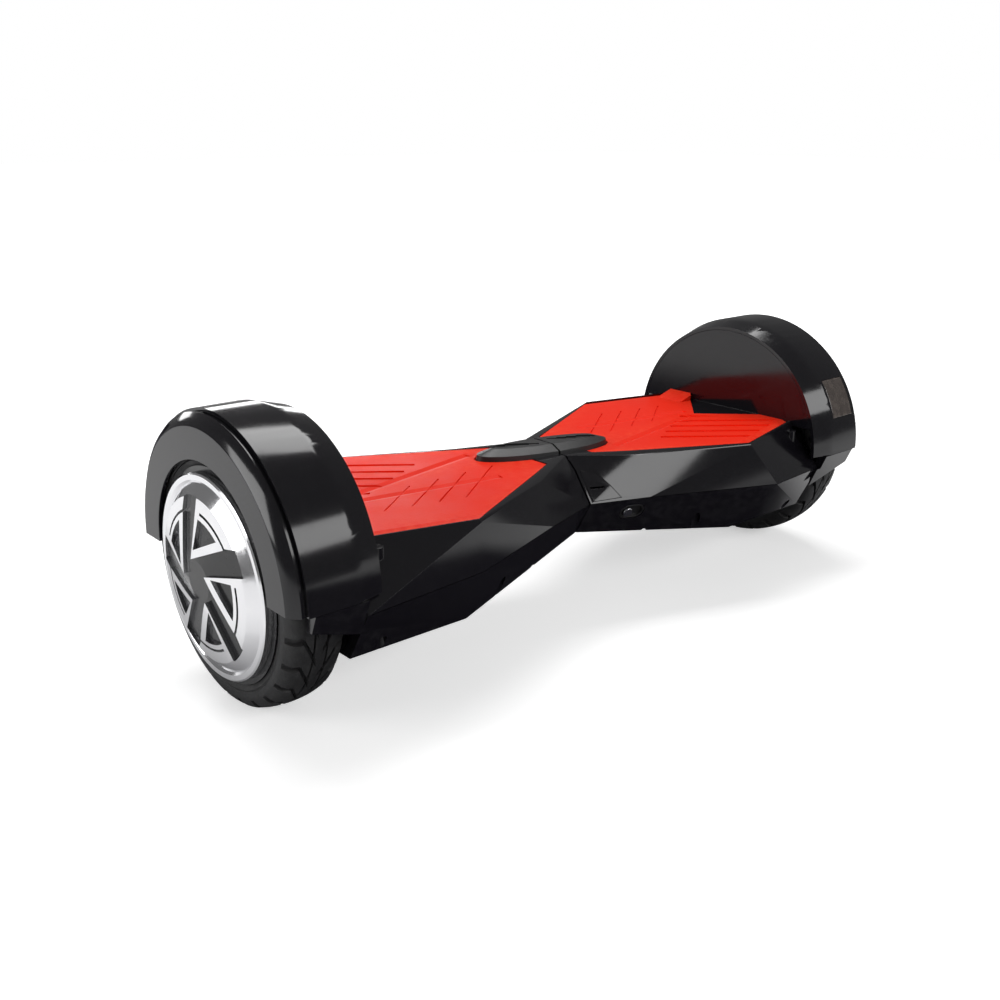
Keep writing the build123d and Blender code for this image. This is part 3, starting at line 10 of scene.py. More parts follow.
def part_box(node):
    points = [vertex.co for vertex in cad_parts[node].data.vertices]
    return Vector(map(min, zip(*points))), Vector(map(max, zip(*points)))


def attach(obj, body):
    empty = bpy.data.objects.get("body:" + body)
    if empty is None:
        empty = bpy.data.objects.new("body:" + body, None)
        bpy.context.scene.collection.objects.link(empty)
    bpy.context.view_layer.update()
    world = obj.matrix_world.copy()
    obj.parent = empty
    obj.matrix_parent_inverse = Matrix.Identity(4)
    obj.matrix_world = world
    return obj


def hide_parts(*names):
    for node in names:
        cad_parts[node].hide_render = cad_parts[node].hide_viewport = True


bl_info = {
    "name": "Balance Board Looks",
    "version": (1, 0, 0),
    "blender": (4, 5, 0),
    "location": "View3D > Sidebar > Board",
    "description": "Finishes, tyres, pads and studio for a two-wheel self balancing board",
    "category": "Object",
}

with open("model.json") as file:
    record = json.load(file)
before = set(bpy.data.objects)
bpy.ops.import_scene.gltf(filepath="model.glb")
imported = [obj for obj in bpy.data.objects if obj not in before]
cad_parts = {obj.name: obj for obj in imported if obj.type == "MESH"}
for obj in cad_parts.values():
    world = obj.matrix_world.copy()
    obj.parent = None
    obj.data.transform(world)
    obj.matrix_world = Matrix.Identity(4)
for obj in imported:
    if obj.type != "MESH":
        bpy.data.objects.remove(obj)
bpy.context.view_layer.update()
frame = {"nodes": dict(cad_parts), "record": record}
NODES = frame["nodes"]
SIDES = ("left", "right")

# Softboxes: name, place, point aimed at, size, share of the key power.
SOFTBOXES = (
    ("TopSoftbox", (0.3, 0.7, 1.8), (0, 0, 0.1), (1.9, 0.8), 0.8),
    ("FrontSoftbox", (0.5, -1.7, 1.0), (0.1, 0, 0.1), (1.9, 0.6), 0.5),
    ("WheelSoftbox", (-1.9, 0.5, 0.7), (-0.3, 0, 0.1), (1.2, 1.0), 0.5),
    ("RimSoftbox", (0.3, 1.9, 0.6), (0, 0, 0.1), (1.8, 0.3), 0.3),
)
FLOOR_HALF = 12.0
# Small outer pieces that get a fine rounding.
ROUNDED_WORKS = ("power_button", "dust_cap", "button_housing", "charge_housing")
SMALL_ROUND = 0.0003
SENSOR_WIDTH = 36.0

# Tyre section, in metres in from the tyre's outer radius and side.
BEAD_DEPTH = 0.0235
CROWN_INSET = 0.0105
CROWN_RISE = 0.0012
SHOULDER_DEPTH = 0.006
# Shares of the crown's half width: the groove that runs round, and the smooth band in the middle.
RING_GROOVE = (0.36, 0.42)
SMOOTH_BAND = 0.30
# Shares of one tread block where its outline turns, and whether the tread is cut there.
BLOCK_MARKS = (0.0, 0.03, 0.20, 0.23, 0.5, 0.78)
BLOCK_CUTS = (0.0, 1.0, 1.0, 0.0, 0.0, 0.0)
CROWN_SHARES = (1.0, 0.97, 0.72, 0.45, 0.42, 0.36, 0.33, 0.12, 0.0)


# ---------- settings ----------
class FinishSettings(bpy.types.PropertyGroup):
    """Colours and surface values of the board's materials."""

    # The slight violet in the shell black is painted reflection: it stands in for violet light picked up by
    # the lower facets.
    shell_colour: bpy.props.FloatVectorProperty(
        name="Shell colour", description="Gloss black of the shells and fenders", subtype="COLOR",
        size=3, min=0, max=1, default=(0.0045, 0.004, 0.006))
    pad_colour: bpy.props.FloatVectorProperty(
        name="Pad colour", description="Red-orange of the foot pads", subtype="COLOR",
        size=3, min=0, max=1, default=(0.92, 0.021, 0.004))
    tyre_colour: bpy.props.FloatVectorProperty(
        name="Tyre colour", description="Black of the tyre rubber", subtype="COLOR",
        size=3, min=0, max=1, default=(0.012, 0.012, 0.013))
    edge_round: bpy.props.FloatProperty(
        name="Edge rounding", description="Radius of the moulded edges", subtype="DISTANCE",
        unit="LENGTH", min=0, default=0.0009)


class TyreSettings(bpy.types.PropertyGroup):
    """Tread of the tyres."""

    blocks: bpy.props.IntProperty(
        name="Tread blocks", description="Chevron blocks round one tyre", min=8, default=26)
    groove_depth: bpy.props.FloatProperty(
        name="Groove depth", description="Depth of the tread grooves", subtype="DISTANCE",
        unit="LENGTH", min=0, default=0.0032)
    sweep: bpy.props.FloatProperty(
        name="Chevron sweep", description="How far a groove runs round the tyre from middle to shoulder",
        subtype="ANGLE", unit="ROTATION", default=math.radians(15))


class StudioSettings(bpy.types.PropertyGroup):
    """Camera and lights."""

    camera_place: bpy.props.FloatVectorProperty(
        name="Camera place", description="Where the camera stands", subtype="TRANSLATION",
        unit="LENGTH", size=3, default=(-0.64727, -0.69708, 0.40815))
    camera_azimuth: bpy.props.FloatProperty(
        name="Camera azimuth", description="Turn of the view about Z, 0 looks along +Y", subtype="ANGLE",
        unit="ROTATION", default=math.radians(-40.62))
    camera_elevation: bpy.props.FloatProperty(
        name="Camera elevation", description="Height of the view over the horizon", subtype="ANGLE",
        unit="ROTATION", default=math.radians(18.48))
    lens: bpy.props.FloatProperty(
        name="Lens", description="Focal length in millimetres", subtype="DISTANCE_CAMERA",
        unit="CAMERA", default=40.554)
    key_power: bpy.props.FloatProperty(
        name="Key light power", description="Power of the main softbox", subtype="POWER",
        unit="POWER", default=30.0)
    sky: bpy.props.FloatProperty(
        name="Surround brightness", description="Light of the surround on the board", min=0, default=0.16)


# ---------- shader node groups ----------
def new_group(name, inputs, outputs):
    """An empty shader group with named sockets; inputs are (name, type, default)."""
    group = bpy.data.node_groups.new(name, "ShaderNodeTree")
    for label, kind, default in inputs:
        socket = group.interface.new_socket(name=label, in_out="INPUT", socket_type=kind)
        if default is not None:
            socket.default_value = default
    for label, kind in outputs:
        group.interface.new_socket(name=label, in_out="OUTPUT", socket_type=kind)
    start = group.nodes.new("NodeGroupInput")
    end = group.nodes.new("NodeGroupOutput")
    return group, start, end


def math_node(tree, operation, a=None, b=None, clamp=False):
    """A math node with sockets or numbers as its inputs."""
    node = tree.nodes.new("ShaderNodeMath")
    node.operation = operation
    node.use_clamp = clamp
    for index, value in enumerate((a, b)):
        if value is None:
            continue
        if isinstance(value, (int, float)):
            node.inputs[index].default_value = value
        else:
            tree.links.new(value, node.inputs[index])
    return node.outputs[0]


def noise(tree, vector, scale, detail=4.0, roughness=0.55):
    """A noise texture read at a vector."""
    node = tree.nodes.new("ShaderNodeTexNoise")
    node.inputs["Detail"].default_value = detail
    node.inputs["Roughness"].default_value = roughness
    if isinstance(scale, (int, float)):
        node.inputs["Scale"].default_value = scale
    else:
        tree.links.new(scale, node.inputs["Scale"])
    tree.links.new(vector, node.inputs["Vector"])
    return node.outputs["Fac"]


def remap(tree, value, low, high, out_low, out_high):
    """A clamped linear remap."""
    node = tree.nodes.new("ShaderNodeMapRange")
    for index, number in ((1, low), (2, high), (3, out_low), (4, out_high)):
        if isinstance(number, (int, float)):
            node.inputs[index].default_value = number
        else:
            tree.links.new(number, node.inputs[index])
    tree.links.new(value, node.inputs[0])
    return node.outputs[0]


def mix_colour(tree, factor, a, b):
    """A colour mix with sockets or colours as its inputs."""
    node = tree.nodes.new("ShaderNodeMix")
    node.data_type = "RGBA"
    for index, value in ((0, factor), (6, a), (7, b)):
        if isinstance(value, (int, float)):
            node.inputs[index].default_value = value
        elif isinstance(value, (tuple, list)):
            node.inputs[index].default_value = value
        else:
            tree.links.new(value, node.inputs[index])
    return node.outputs[2]


def handling_group():
    """Uneven gloss from handling: broad smears, fine scuffs and light dust."""
    group, start, end = new_group(
        "HandlingMarks",
        [("Colour", "NodeSocketColor", (0.5, 0.5, 0.5, 1)),
         ("Dust Colour", "NodeSocketColor", (0.3, 0.29, 0.27, 1)),
         ("Roughness", "NodeSocketFloat", 0.2), ("Smear", "NodeSocketFloat", 0.08),
         ("Dust", "NodeSocketFloat", 0.03), ("Scale", "NodeSocketFloat", 12.0)],
        [("Colour", "NodeSocketColor"), ("Roughness", "NodeSocketFloat")])
    place = group.nodes.new("ShaderNodeTexCoord").outputs["Object"]
    broad = noise(group, place, start.outputs["Scale"])
    fine_scale = math_node(group, "MULTIPLY", start.outputs["Scale"], 14.0)
    fine = noise(group, place, fine_scale, detail=6.0, roughness=0.7)
    smear = remap(group, broad, 0.35, 0.7, 0.0, 1.0)
    scuff = remap(group, fine, 0.55, 0.75, 0.0, 1.0)
    lift = math_node(group, "MULTIPLY", math_node(group, "ADD", smear, scuff), start.outputs["Smear"])
    rough = math_node(group, "ADD", start.outputs["Roughness"], lift, clamp=True)
    group.links.new(rough, end.inputs["Roughness"])
    up = group.nodes.new("ShaderNodeSeparateXYZ")
    group.links.new(group.nodes.new("ShaderNodeNewGeometry").outputs["Normal"], up.inputs[0])
    facing_up = remap(group, up.outputs["Z"], 0.2, 1.0, 0.15, 1.0)
    film = math_node(group, "MULTIPLY", math_node(group, "MULTIPLY", fine, facing_up), start.outputs["Dust"])
    colour = mix_colour(group, film, start.outputs["Colour"], start.outputs["Dust Colour"])
    group.links.new(colour, end.inputs["Colour"])
    return group


def grain_group():
    """Moulded grain as a height: fine pebbles over a gentle waviness."""
    group, start, end = new_group(
        "MouldGrain",
        [("Scale", "NodeSocketFloat", 900.0), ("Pebble", "NodeSocketFloat", 0.6),
         ("Wave", "NodeSocketFloat", 0.4)],
        [("Height", "NodeSocketFloat"), ("Mask", "NodeSocketFloat")])
    place = group.nodes.new("ShaderNodeTexCoord").outputs["Object"]
    cells = group.nodes.new("ShaderNodeTexVoronoi")
    cells.feature = "SMOOTH_F1"
    group.links.new(place, cells.inputs["Vector"])
    group.links.new(start.outputs["Scale"], cells.inputs["Scale"])
    slow = math_node(group, "MULTIPLY", start.outputs["Scale"], 0.06)
    wave = noise(group, place, slow, detail=3.0)
    pebbles = math_node(group, "MULTIPLY", cells.outputs["Distance"], start.outputs["Pebble"])
    waves = math_node(group, "MULTIPLY", wave, start.outputs["Wave"])
    group.links.new(math_node(group, "ADD", pebbles, waves), end.inputs["Height"])
    group.links.new(remap(group, cells.outputs["Distance"], 0.1, 0.6, 0.0, 1.0), end.inputs["Mask"])
    return group


def edge_group():
    """Rubbed edges: a mask that is high on convex corners and broken up by noise."""
    group, start, end = new_group(
        "RubbedEdges",
        [("Colour", "NodeSocketColor", (0.5, 0.5, 0.5, 1)),
         ("Worn Colour", "NodeSocketColor", (0.6, 0.6, 0.6, 1)),
         ("Amount", "NodeSocketFloat", 0.4)],
        [("Colour", "NodeSocketColor"), ("Mask", "NodeSocketFloat")])
    geometry = group.nodes.new("ShaderNodeNewGeometry")
    place = group.nodes.new("ShaderNodeTexCoord").outputs["Object"]
    corner = remap(group, geometry.outputs["Pointiness"], 0.52, 0.6, 0.0, 1.0)
    broken = remap(group, noise(group, place, 160.0, detail=5.0), 0.4, 0.65, 0.0, 1.0)
    mask = math_node(group, "MULTIPLY", math_node(group, "MULTIPLY", corner, broken), start.outputs["Amount"])
    group.links.new(mask, end.inputs["Mask"])
    rubbed = mix_colour(group, mask, start.outputs["Colour"], start.outputs["Worn Colour"])
    group.links.new(rubbed, end.inputs["Colour"])
    return group


def group_named(name, maker):
    """The group of that name, made on its first use."""
    return bpy.data.node_groups.get(name) or maker()


def rgba(colour):
    """A colour with full alpha."""
    return (colour[0], colour[1], colour[2], 1.0)


class Surface:
    """A material under construction: its tree, its shader and short ways to use the shared groups."""

    def __init__(self, name, metallic=0.0, coat=0.0, coat_roughness=0.05, ior=1.5, specular=0.5):
        self.material = bpy.data.materials.new(name)
        self.material.use_nodes = True
        self.tree = self.material.node_tree
        self.shader = self.tree.nodes["Principled BSDF"]
        self.shader.inputs["Metallic"].default_value = metallic
        self.shader.inputs["Coat Weight"].default_value = coat
        self.shader.inputs["Coat Roughness"].default_value = coat_roughness
        self.shader.inputs["IOR"].default_value = ior
        self.shader.inputs["Specular IOR Level"].default_value = specular
        self.colour = None

    def use(self, name, maker, **values):
        """Place a shared group with this material's own values."""
        node = self.tree.nodes.new("ShaderNodeGroup")
        node.node_tree = group_named(name, maker)
        for label, value in values.items():
            node.inputs[label.replace("_", " ")].default_value = value
        return node

    def edges(self, colour, worn, amount):
        """Start from a colour with rubbed edges."""
        node = self.use("RubbedEdges", edge_group, Colour=rgba(colour), Worn_Colour=rgba(worn), Amount=amount)
        self.colour = node.outputs["Colour"]
        return self

    def handling(self, roughness, smear, dust, scale=12.0, dust_colour=(0.3, 0.29, 0.27)):
        """Add smears and dust, and feed colour and roughness to the shader."""
        node = self.use("HandlingMarks", handling_group, Roughness=roughness, Smear=smear, Dust=dust,
                        Scale=scale, Dust_Colour=rgba(dust_colour))
        self.tree.links.new(self.colour, node.inputs["Colour"])
        self.tree.links.new(node.outputs["Colour"], self.shader.inputs["Base Color"])
        self.tree.links.new(node.outputs["Roughness"], self.shader.inputs["Roughness"])
        return self

    def grain(self, scale, pebble, wave, strength, distance=0.0004):
        """Moulded grain as a bump."""
        node = self.use("MouldGrain", grain_group, Scale=scale, Pebble=pebble, Wave=wave)
        bump = self.tree.nodes.new("ShaderNodeBump")
        bump.inputs["Strength"].default_value = strength
        bump.inputs["Distance"].default_value = distance
        self.tree.links.new(node.outputs["Height"], bump.inputs["Height"])
        self.tree.links.new(bump.outputs["Normal"], self.shader.inputs["Normal"])
        return self


# ---------- materials ----------
def finishes():
    """The scene's finish settings."""
    return bpy.context.scene.board_finishes


def shell_plastic():
    """Gloss black moulding with faint smears, dust and rubbed edges."""
    colour = tuple(finishes().shell_colour)
    surface = Surface("gloss_black_plastic", specular=0.55)
    surface.edges(colour, (0.04, 0.04, 0.042), 0.2).handling(0.10, 0.05, 0.012, 9.0)
    return surface.grain(260.0, 0.15, 0.5, 0.04).material


def satin_plastic():
    """Satin black moulding with a fine grain."""
    surface = Surface("satin_black_plastic")
    surface.edges((0.012, 0.012, 0.013), (0.07, 0.07, 0.07), 0.4).handling(0.36, 0.12, 0.05, 18.0)
    return surface.grain(1400.0, 0.7, 0.3, 0.25).material


def lens_plastic():
    """Smoked lamp lens with a polished face."""
    surface = Surface("smoked_lens", coat=1.0, coat_roughness=0.02, ior=1.58)
    # The smoked tint is real; its brown-grey lightness is painted reflection, standing in for the reflection
    # on the lens face.
    surface.edges((0.055, 0.042, 0.036), (0.30, 0.25, 0.22), 0.6).handling(0.09, 0.03, 0.015, 10.0)
    return surface.grain(420.0, 0.1, 0.3, 0.04).material


def pad_rubber():
    """Red-orange rubber with a fine stipple, paler where feet rub it."""
    colour = tuple(finishes().pad_colour)
    surface = Surface("red_pad_rubber", specular=0.12)
    surface.edges(colour, (1.0, 0.08, 0.03), 0.5).handling(0.38, 0.12, 0.05, 22.0, (0.8, 0.09, 0.04))
    return surface.grain(1100.0, 0.8, 0.5, 0.3).material


def tyre_rubber():
    """Black tyre rubber with a dull face, light dust and rubbed edges."""
    colour = tuple(finishes().tyre_colour)
    surface = Surface("tyre_rubber")
    surface.edges(colour, (0.05, 0.05, 0.05), 0.6).handling(0.5, 0.22, 0.10, 30.0, (0.11, 0.10, 0.09))
    return surface.grain(1000.0, 0.8, 0.6, 0.35).material


def soft_rubber():
    """Soft black rubber of the dust cap."""
    surface = Surface("soft_black_rubber")
    surface.edges((0.013, 0.013, 0.014), (0.06, 0.06, 0.06), 0.4).handling(0.55, 0.15, 0.06, 40.0)
    return surface.grain(1800.0, 0.6, 0.4, 0.25).material


def metal(name, colour, worn, roughness, smear, grain_strength, dust=0.02, scale=20.0):
    """A metal with handling marks and a fine tool grain."""
    surface = Surface(name, metallic=1.0)
    surface.edges(colour, worn, 0.5).handling(roughness, smear, dust, scale)
    return surface.grain(1300.0, 0.4, 0.6, grain_strength, 0.0002).material


def moulded(name, colour, worn, roughness, dust=0.03, scale=25.0, grain_strength=0.15):
    """A plain inner moulding or wrap."""
    surface = Surface(name)
    surface.edges(colour, worn, 0.4).handling(roughness, 0.12, dust, scale)
    return surface.grain(900.0, 0.4, 0.6, grain_strength).material


MATERIAL_MAKERS = {
    "gloss_black_plastic": shell_plastic,
    "satin_black_plastic": satin_plastic,
    "smoked_lens": lens_plastic,
    "red_pad_rubber": pad_rubber,
    "tyre_rubber": tyre_rubber,
    "soft_black_rubber": soft_rubber,
    "chrome_cover": lambda: metal("chrome_cover", (0.88, 0.88, 0.9), (0.97, 0.97, 0.97), 0.1, 0.06, 0.03,
                                  0.0),
    "brushed_button": lambda: metal("brushed_button", (0.78, 0.78, 0.8), (0.95, 0.95, 0.95), 0.2, 0.1, 0.12),
    "rim_aluminium": lambda: metal("rim_aluminium", (0.3, 0.3, 0.31), (0.8, 0.8, 0.8), 0.32, 0.15, 0.15),
    "cast_aluminium": lambda: metal("cast_aluminium", (0.55, 0.56, 0.57), (0.8, 0.8, 0.8), 0.5, 0.15, 0.5),
    "machined_steel": lambda: metal("machined_steel", (0.52, 0.52, 0.53), (0.8, 0.8, 0.8), 0.27, 0.12, 0.15),
    "laminated_steel": lambda: metal("laminated_steel", (0.2, 0.2, 0.21), (0.5, 0.5, 0.5), 0.5, 0.15, 0.3),
    "copper_wire": lambda: metal("copper_wire", (0.72, 0.3, 0.12), (0.9, 0.5, 0.3), 0.35, 0.12, 0.4),
    "magnet_plating": lambda: metal("magnet_plating", (0.5, 0.5, 0.48), (0.8, 0.8, 0.8), 0.25, 0.1, 0.1),
    "black_screws": lambda: metal("black_screws", (0.06, 0.06, 0.065), (0.4, 0.4, 0.4), 0.35, 0.15, 0.2),
    "circuit_board": lambda: moulded("circuit_board", (0.012, 0.11, 0.04), (0.3, 0.25, 0.1), 0.35),
    "black_hub_paint": lambda: moulded("black_hub_paint", (0.006, 0.006, 0.007), (0.05, 0.05, 0.05), 0.16,
                                       0.02),
    "white_nylon": lambda: moulded("white_nylon", (0.72, 0.7, 0.64), (0.8, 0.8, 0.78), 0.45),
    "battery_wrap": lambda: moulded("battery_wrap", (0.015, 0.07, 0.3), (0.2, 0.25, 0.5), 0.25),
}


def material(slot):
    """The material of a slot, made on its first use."""
    found = bpy.data.materials.get("finish_" + slot)
    if found is None:
        found = MATERIAL_MAKERS[slot]()
        found.name = "finish_" + slot
    return found


def slot_of(node):
    """The record's material slot of a CAD node."""
    for part in frame["record"]["subparts"]:
        if part["node"] == node:
            return part["material_slot"]
    raise RuntimeError(f"no slot for {node}")


# ---------- mesh helpers ----------
def smooth(obj, angle=30.0):
    """Smooth shading that keeps edges over an angle sharp."""
    obj.data.polygons.foreach_set("use_smooth", [True] * len(obj.data.polygons))
    obj.data.set_sharp_from_angle(angle=math.radians(angle))


def round_edges(obj, width, segments=2, angle=22.0):
    """Weld the facets and round the edges over an angle with modifiers."""
    weld = obj.modifiers.new("Weld", "WELD")
    weld.merge_threshold = 0.00001
    flatten = obj.modifiers.new("Flatten", "DECIMATE")
    flatten.decimate_type = "DISSOLVE"
    flatten.angle_limit = math.radians(0.4)
    bevel = obj.modifiers.new("Bevel", "BEVEL")
    bevel.width = width
    bevel.segments = segments
    bevel.limit_method = "ANGLE"
    bevel.angle_limit = math.radians(angle)
    bevel.use_clamp_overlap = True
    bevel.miter_outer = "MITER_ARC"
    weighted = obj.modifiers.new("Weighted Normal", "WEIGHTED_NORMAL")
    weighted.mode = "FACE_AREA"
    weighted.weight = 100


def dress(node, width=0.0, segments=2):
    """Give a CAD node its finish and, where it shows, rounded edges."""
    obj = NODES[node]
    obj.data.materials.clear()
    obj.data.materials.append(material(slot_of(node)))
    if width > 0:
        obj.data.polygons.foreach_set("use_smooth", [True] * len(obj.data.polygons))
        round_edges(obj, width, segments)
    else:
        smooth(obj)
    return obj


def new_piece(name, mesh_builder, body, slot, stands_for=None):
    """Make an object from a bmesh, finish it and hang it on its body."""
    mesh = bpy.data.meshes.new(name)
    bm = bmesh.new()
    mesh_builder(bm)
    bmesh.ops.recalc_face_normals(bm, faces=bm.faces)
    bm.to_mesh(mesh)
    bm.free()
    obj = bpy.data.objects.new(name, mesh)
    bpy.context.scene.collection.objects.link(obj)
    mesh.materials.append(material(slot))
    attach(obj, body)
    if stands_for:
        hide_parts(stands_for)
    return obj


class BoardOperator:
    """What every operator of this file shares."""

    bl_options = {"REGISTER", "UNDO"}


class BOARD_OT_shells(BoardOperator, bpy.types.Operator):
    """Finish the shells, fenders and waist panels"""

    bl_idname = "board.shells"
    bl_label = "Shells and Fenders"

    def execute(self, context):
        width = context.scene.board_finishes.edge_round
        for side in SIDES:
            for name in ("top_shell", "bottom_shell", "fender", "fender_side_ring", "waist_panel"):
                dress(f"{side}_{name}", width)
            dress(f"{side}_fender_lamp_lens", width / 2)
            dress(f"{side}_pivot_cover", width)
        return {"FINISHED"}


class BOARD_OT_pads(BoardOperator, bpy.types.Operator):
    """Finish the rubber foot pads"""

    bl_idname = "board.pads"
    bl_label = "Foot Pads"

    def execute(self, context):
        for side in SIDES:
            dress(f"{side}_foot_pad")
        return {"FINISHED"}


class BOARD_OT_tyres(BoardOperator, bpy.types.Operator):
    """Build the tyres with a chevron tread and ribbed sidewalls"""

    bl_idname = "board.tyres"
    bl_label = "Tyres"

    def execute(self, context):
        settings = context.scene.board_tyres
        for side in SIDES:
            low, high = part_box(f"{side}_tyre")
            build = tyre_builder(low, high, settings, side == "left")
            tyre = new_piece(f"{side}_treaded_tyre", build, f"{side}_wheel", "tyre_rubber", f"{side}_tyre")
            smooth(tyre, 32.0)
        return {"FINISHED"}


def tyre_builder(low, high, settings, flip):
    """A function that fills a bmesh with a treaded tyre between two box corners."""
    middle = (low.x + high.x) / 2
    half = (high.x - low.x) / 2
    axle = (low.z + high.z) / 2
    outer = (high.z - low.z) / 2
    bead = outer - BEAD_DEPTH
    crown_half = half - CROWN_INSET
    sweep = settings.sweep
    pitch = 2 * math.pi / settings.blocks
    sections = []
    side_marks = ((bead, half - 0.004), (bead + 0.003, half - 0.0022), (bead + 0.0065, half - 0.0004),
                  (bead + 0.0078, half - 0.0010), (bead + 0.0088, half - 0.0002), (bead + 0.0120, half),
                  (outer - 0.0095, half - 0.0004), (outer - 0.0055, half - 0.0025),
                  (outer - 0.0026, half - 0.0055))
    for radius, x in side_marks:
        sections.append((-x, radius, 0.0))
    for share in CROWN_SHARES:
        rise = CROWN_RISE * (1 - share * share)
        ring = 1.0 if RING_GROOVE[0] <= share <= RING_GROOVE[1] else 0.0
        sections.append((-share * crown_half, outer - CROWN_RISE + rise, ring))
    mirrored = [(-x, radius, ring) for x, radius, ring in sections[::-1] if x < 0]
    sections += mirrored

    def build(bm):
        rows = []
        for x, radius, ring in sections:
            row = []
            lean = sweep * min(abs(x) / crown_half, 1.0)
            cuts_here = abs(x) <= crown_half * 1.001 or radius > outer - SHOULDER_DEPTH
            for block in range(settings.blocks):
                for mark, depth in zip(BLOCK_MARKS, BLOCK_CUTS):
                    angle = (block + mark) * pitch + lean
                    if x < 0:
                        angle += pitch / 2
                    drop = settings.groove_depth * (max(depth, ring) if cuts_here else 0.0)
                    if abs(x) < crown_half * SMOOTH_BAND:
                        drop = 0.0 if ring == 0.0 else drop
                    r = radius - drop
                    row.append(bm.verts.new((middle + (-x if flip else x), -r * math.cos(angle),
                                             axle + r * math.sin(angle))))
            rows.append(row)
        count = len(rows[0])
        for first, second in zip(rows, rows[1:] + rows[:1]):
            for index in range(count):
                after = (index + 1) % count
                bm.faces.new((first[index], first[after], second[after], second[index]))

    return build


class BOARD_OT_wheels(BoardOperator, bpy.types.Operator):
    """Finish the rims, hub covers and chromed wheel covers"""

    bl_idname = "board.wheels"
    bl_label = "Wheels"

    def execute(self, context):
        width = context.scene.board_finishes.edge_round
        for side in SIDES:
            dress(f"{side}_wheel_cover", width * 0.6, 3)
            for name in ("hub_drum", "hub_inner_cover", "hub_outer_cover", "hub_bearings", "magnet_ring"):
                dress(f"{side}_{name}")
        return {"FINISHED"}


class BOARD_OT_works(BoardOperator, bpy.types.Operator):
    """Finish the frame, motors, boards, screws, button and charging inlet"""

    bl_idname = "board.works"
    bl_label = "Frame and Works"

    def execute(self, context):
        done = ("shell", "fender", "panel", "foot_pad", "pivot_cover", "tyre", "wheel_cover", "hub_",
                "magnet")
        for node in sorted(NODES):
            if any(word in node for word in done):
                continue
            dress(node, SMALL_ROUND if node in ROUNDED_WORKS else 0.0)
        return {"FINISHED"}


# ---------- studio ----------
def aim(obj, place, azimuth, elevation):
    """Stand an object at a place, looking down its -Z at an azimuth and elevation."""
    back = Vector((math.sin(azimuth) * math.cos(elevation), -math.cos(azimuth) * math.cos(elevation),
                   math.sin(elevation)))
    right = Vector((0, 0, 1)).cross(back).normalized()
    up = back.cross(right)
    turn = Matrix((right, up, back)).transposed().to_4x4()
    obj.matrix_world = Matrix.Translation(place) @ turn


def softbox(name, place, target, size, power):
    """A rectangular area light aimed at a point."""
    light = bpy.data.lights.new(name, "AREA")
    light.shape = "RECTANGLE"
    light.size, light.size_y = size
    light.energy = power
    obj = bpy.data.objects.new(name, light)
    bpy.context.scene.collection.objects.link(obj)
    direction = Vector(target) - Vector(place)
    obj.location = place
    obj.rotation_euler = direction.to_track_quat("-Z", "Y").to_euler()


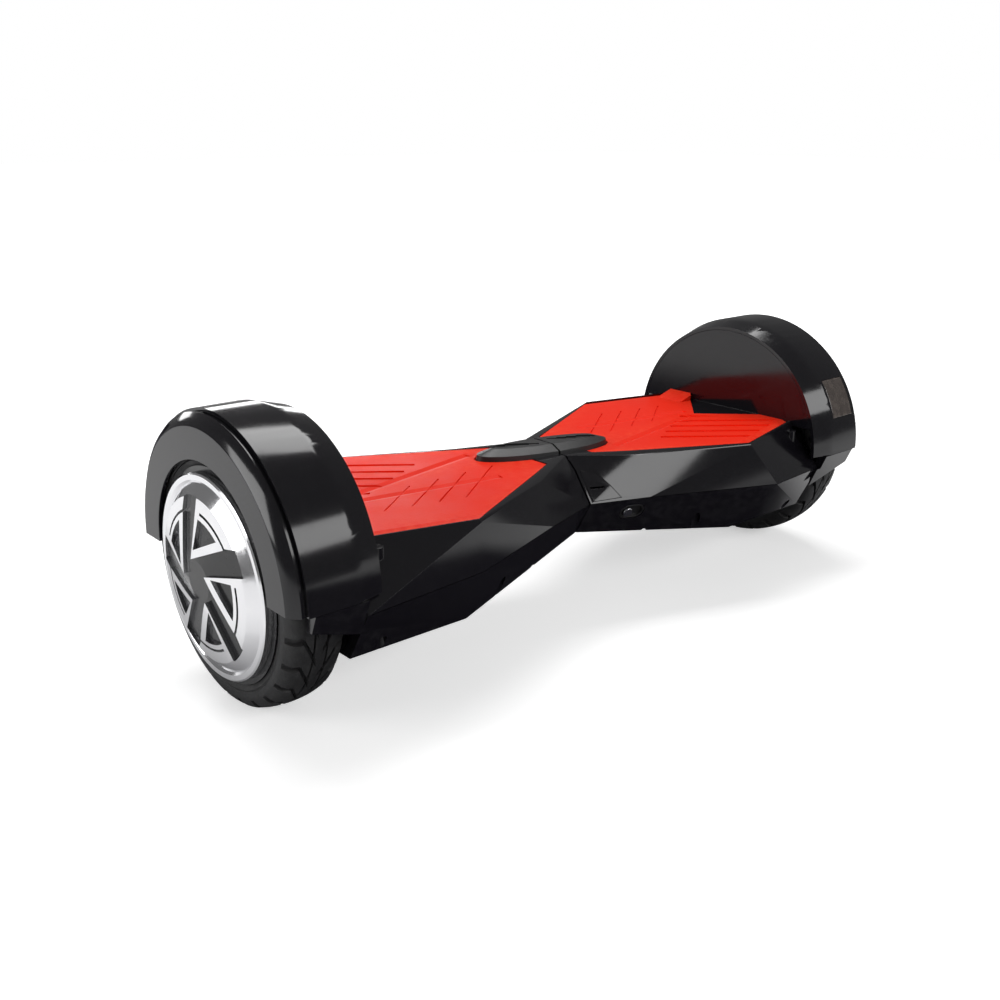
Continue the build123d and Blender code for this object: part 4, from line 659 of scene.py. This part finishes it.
class BOARD_OT_stage(BoardOperator, bpy.types.Operator):
    """Set the pale floor, the soft lights and the camera"""

    bl_idname = "board.stage"
    bl_label = "Studio"

    def execute(self, context):
        studio = context.scene.board_studio
        context.scene.view_settings.view_transform = "Standard"
        self.surround(context.scene, studio)
        self.floor()
        for name, place, target, size, share in SOFTBOXES:
            softbox(name, place, target, size, studio.key_power * share)
        camera = bpy.data.cameras.new("Camera")
        camera.lens = studio.lens
        camera.sensor_width = SENSOR_WIDTH
        obj = bpy.data.objects.new("Camera", camera)
        context.scene.collection.objects.link(obj)
        aim(obj, Vector(studio.camera_place), studio.camera_azimuth, studio.camera_elevation)
        context.scene.camera = obj
        return {"FINISHED"}

    def surround(self, scene, studio):
        """A white surround for the camera, dimmer where it lights the board."""
        world = bpy.data.worlds.new("Surround")
        world.use_nodes = True
        tree = world.node_tree
        shade = tree.nodes["Background"]
        shade.inputs["Color"].default_value = (1, 1, 1, 1)
        path = tree.nodes.new("ShaderNodeLightPath")
        seen = remap(tree, path.outputs["Is Camera Ray"], 0.0, 1.0, studio.sky, 1.0)
        tree.links.new(seen, shade.inputs["Strength"])
        scene.world = world

    def floor(self):
        """A wide pale floor, kept dark in the board's own reflections and glowing to the camera as painted
        light.
        """
        surface = Surface("pale_floor", specular=0.1)
        surface.edges((0.9, 0.9, 0.9), (0.92, 0.92, 0.92), 0.1)
        surface.handling(0.6, 0.05, 0.01, 3.0, (0.85, 0.85, 0.85))
        tree = surface.tree
        path = tree.nodes.new("ShaderNodeLightPath")
        place = tree.nodes.new("ShaderNodeTexCoord").outputs["Object"]
        axes = tree.nodes.new("ShaderNodeSeparateXYZ")
        tree.links.new(place, axes.inputs[0])
        beside = remap(tree, math_node(tree, "ABSOLUTE", axes.outputs["X"]), 0.25, 0.42, 0.0, 1.0)
        mirrored = mix_colour(tree, beside, (0.05, 0.047, 0.06, 1), (1.0, 1.0, 1.0, 1))
        base = surface.shader.inputs["Base Color"]
        pale = base.links[0].from_socket
        tree.links.new(mix_colour(tree, path.outputs["Is Glossy Ray"], pale, mirrored), base)
        # Painted light: to the camera the floor glows at half strength within 0.5 m of the middle, rising to
        # full strength from 1.6 m out, so it fades into the white surround and its shadows stay pale.
        reach = tree.nodes.new("ShaderNodeVectorMath")
        reach.operation = "LENGTH"
        tree.links.new(place, reach.inputs[0])
        lift = remap(tree, reach.outputs["Value"], 0.5, 1.6, 0.5, 1.0)
        seen = math_node(tree, "MULTIPLY", lift, path.outputs["Is Camera Ray"])
        glow = mix_colour(tree, seen, (0, 0, 0, 1), (1, 1, 1, 1))
        tree.links.new(glow, surface.shader.inputs["Emission Color"])
        surface.shader.inputs["Emission Strength"].default_value = 1.0
        mesh = bpy.data.meshes.new("Floor")
        corners = [(x * FLOOR_HALF, y * FLOOR_HALF, 0) for x, y in ((-1, -1), (1, -1), (1, 1), (-1, 1))]
        mesh.from_pydata(corners, [], [(0, 1, 2, 3)])
        mesh.materials.append(surface.material)
        floor = bpy.data.objects.new("Floor", mesh)
        bpy.context.scene.collection.objects.link(floor)


class BOARD_PT_panel(bpy.types.Panel):
    """Sidebar panel with the board's build steps"""

    bl_label = "Balance Board"
    bl_idname = "BOARD_PT_panel"
    bl_space_type = "VIEW_3D"
    bl_region_type = "UI"
    bl_category = "Board"

    def draw(self, context):
        column = self.layout.column(align=True)
        for operator in OPERATORS:
            column.operator(operator.bl_idname)
        for settings in (context.scene.board_finishes, context.scene.board_tyres, context.scene.board_studio):
            box = self.layout.box()
            for name in settings.__annotations__:
                box.prop(settings, name)


OPERATORS = (BOARD_OT_shells, BOARD_OT_pads, BOARD_OT_tyres, BOARD_OT_wheels, BOARD_OT_works, BOARD_OT_stage)
SETTINGS = (
    ("board_finishes", FinishSettings),
    ("board_tyres", TyreSettings),
    ("board_studio", StudioSettings),
)


def register():
    """Register the settings, the operators and the panel."""
    for name, settings in SETTINGS:
        bpy.utils.register_class(settings)
        setattr(bpy.types.Scene, name, bpy.props.PointerProperty(type=settings))
    for item in OPERATORS + (BOARD_PT_panel,):
        bpy.utils.register_class(item)


def unregister():
    """Take everything back out."""
    for item in (BOARD_PT_panel,) + OPERATORS[::-1]:
        bpy.utils.unregister_class(item)
    for name, settings in SETTINGS[::-1]:
        delattr(bpy.types.Scene, name)
        bpy.utils.unregister_class(settings)


def main():
    """Build the looks in order."""
    register()
    bpy.ops.board.shells()
    bpy.ops.board.pads()
    bpy.ops.board.tyres()
    bpy.ops.board.wheels()
    bpy.ops.board.works()
    bpy.ops.board.stage()


if __name__ == "__main__":
    main()
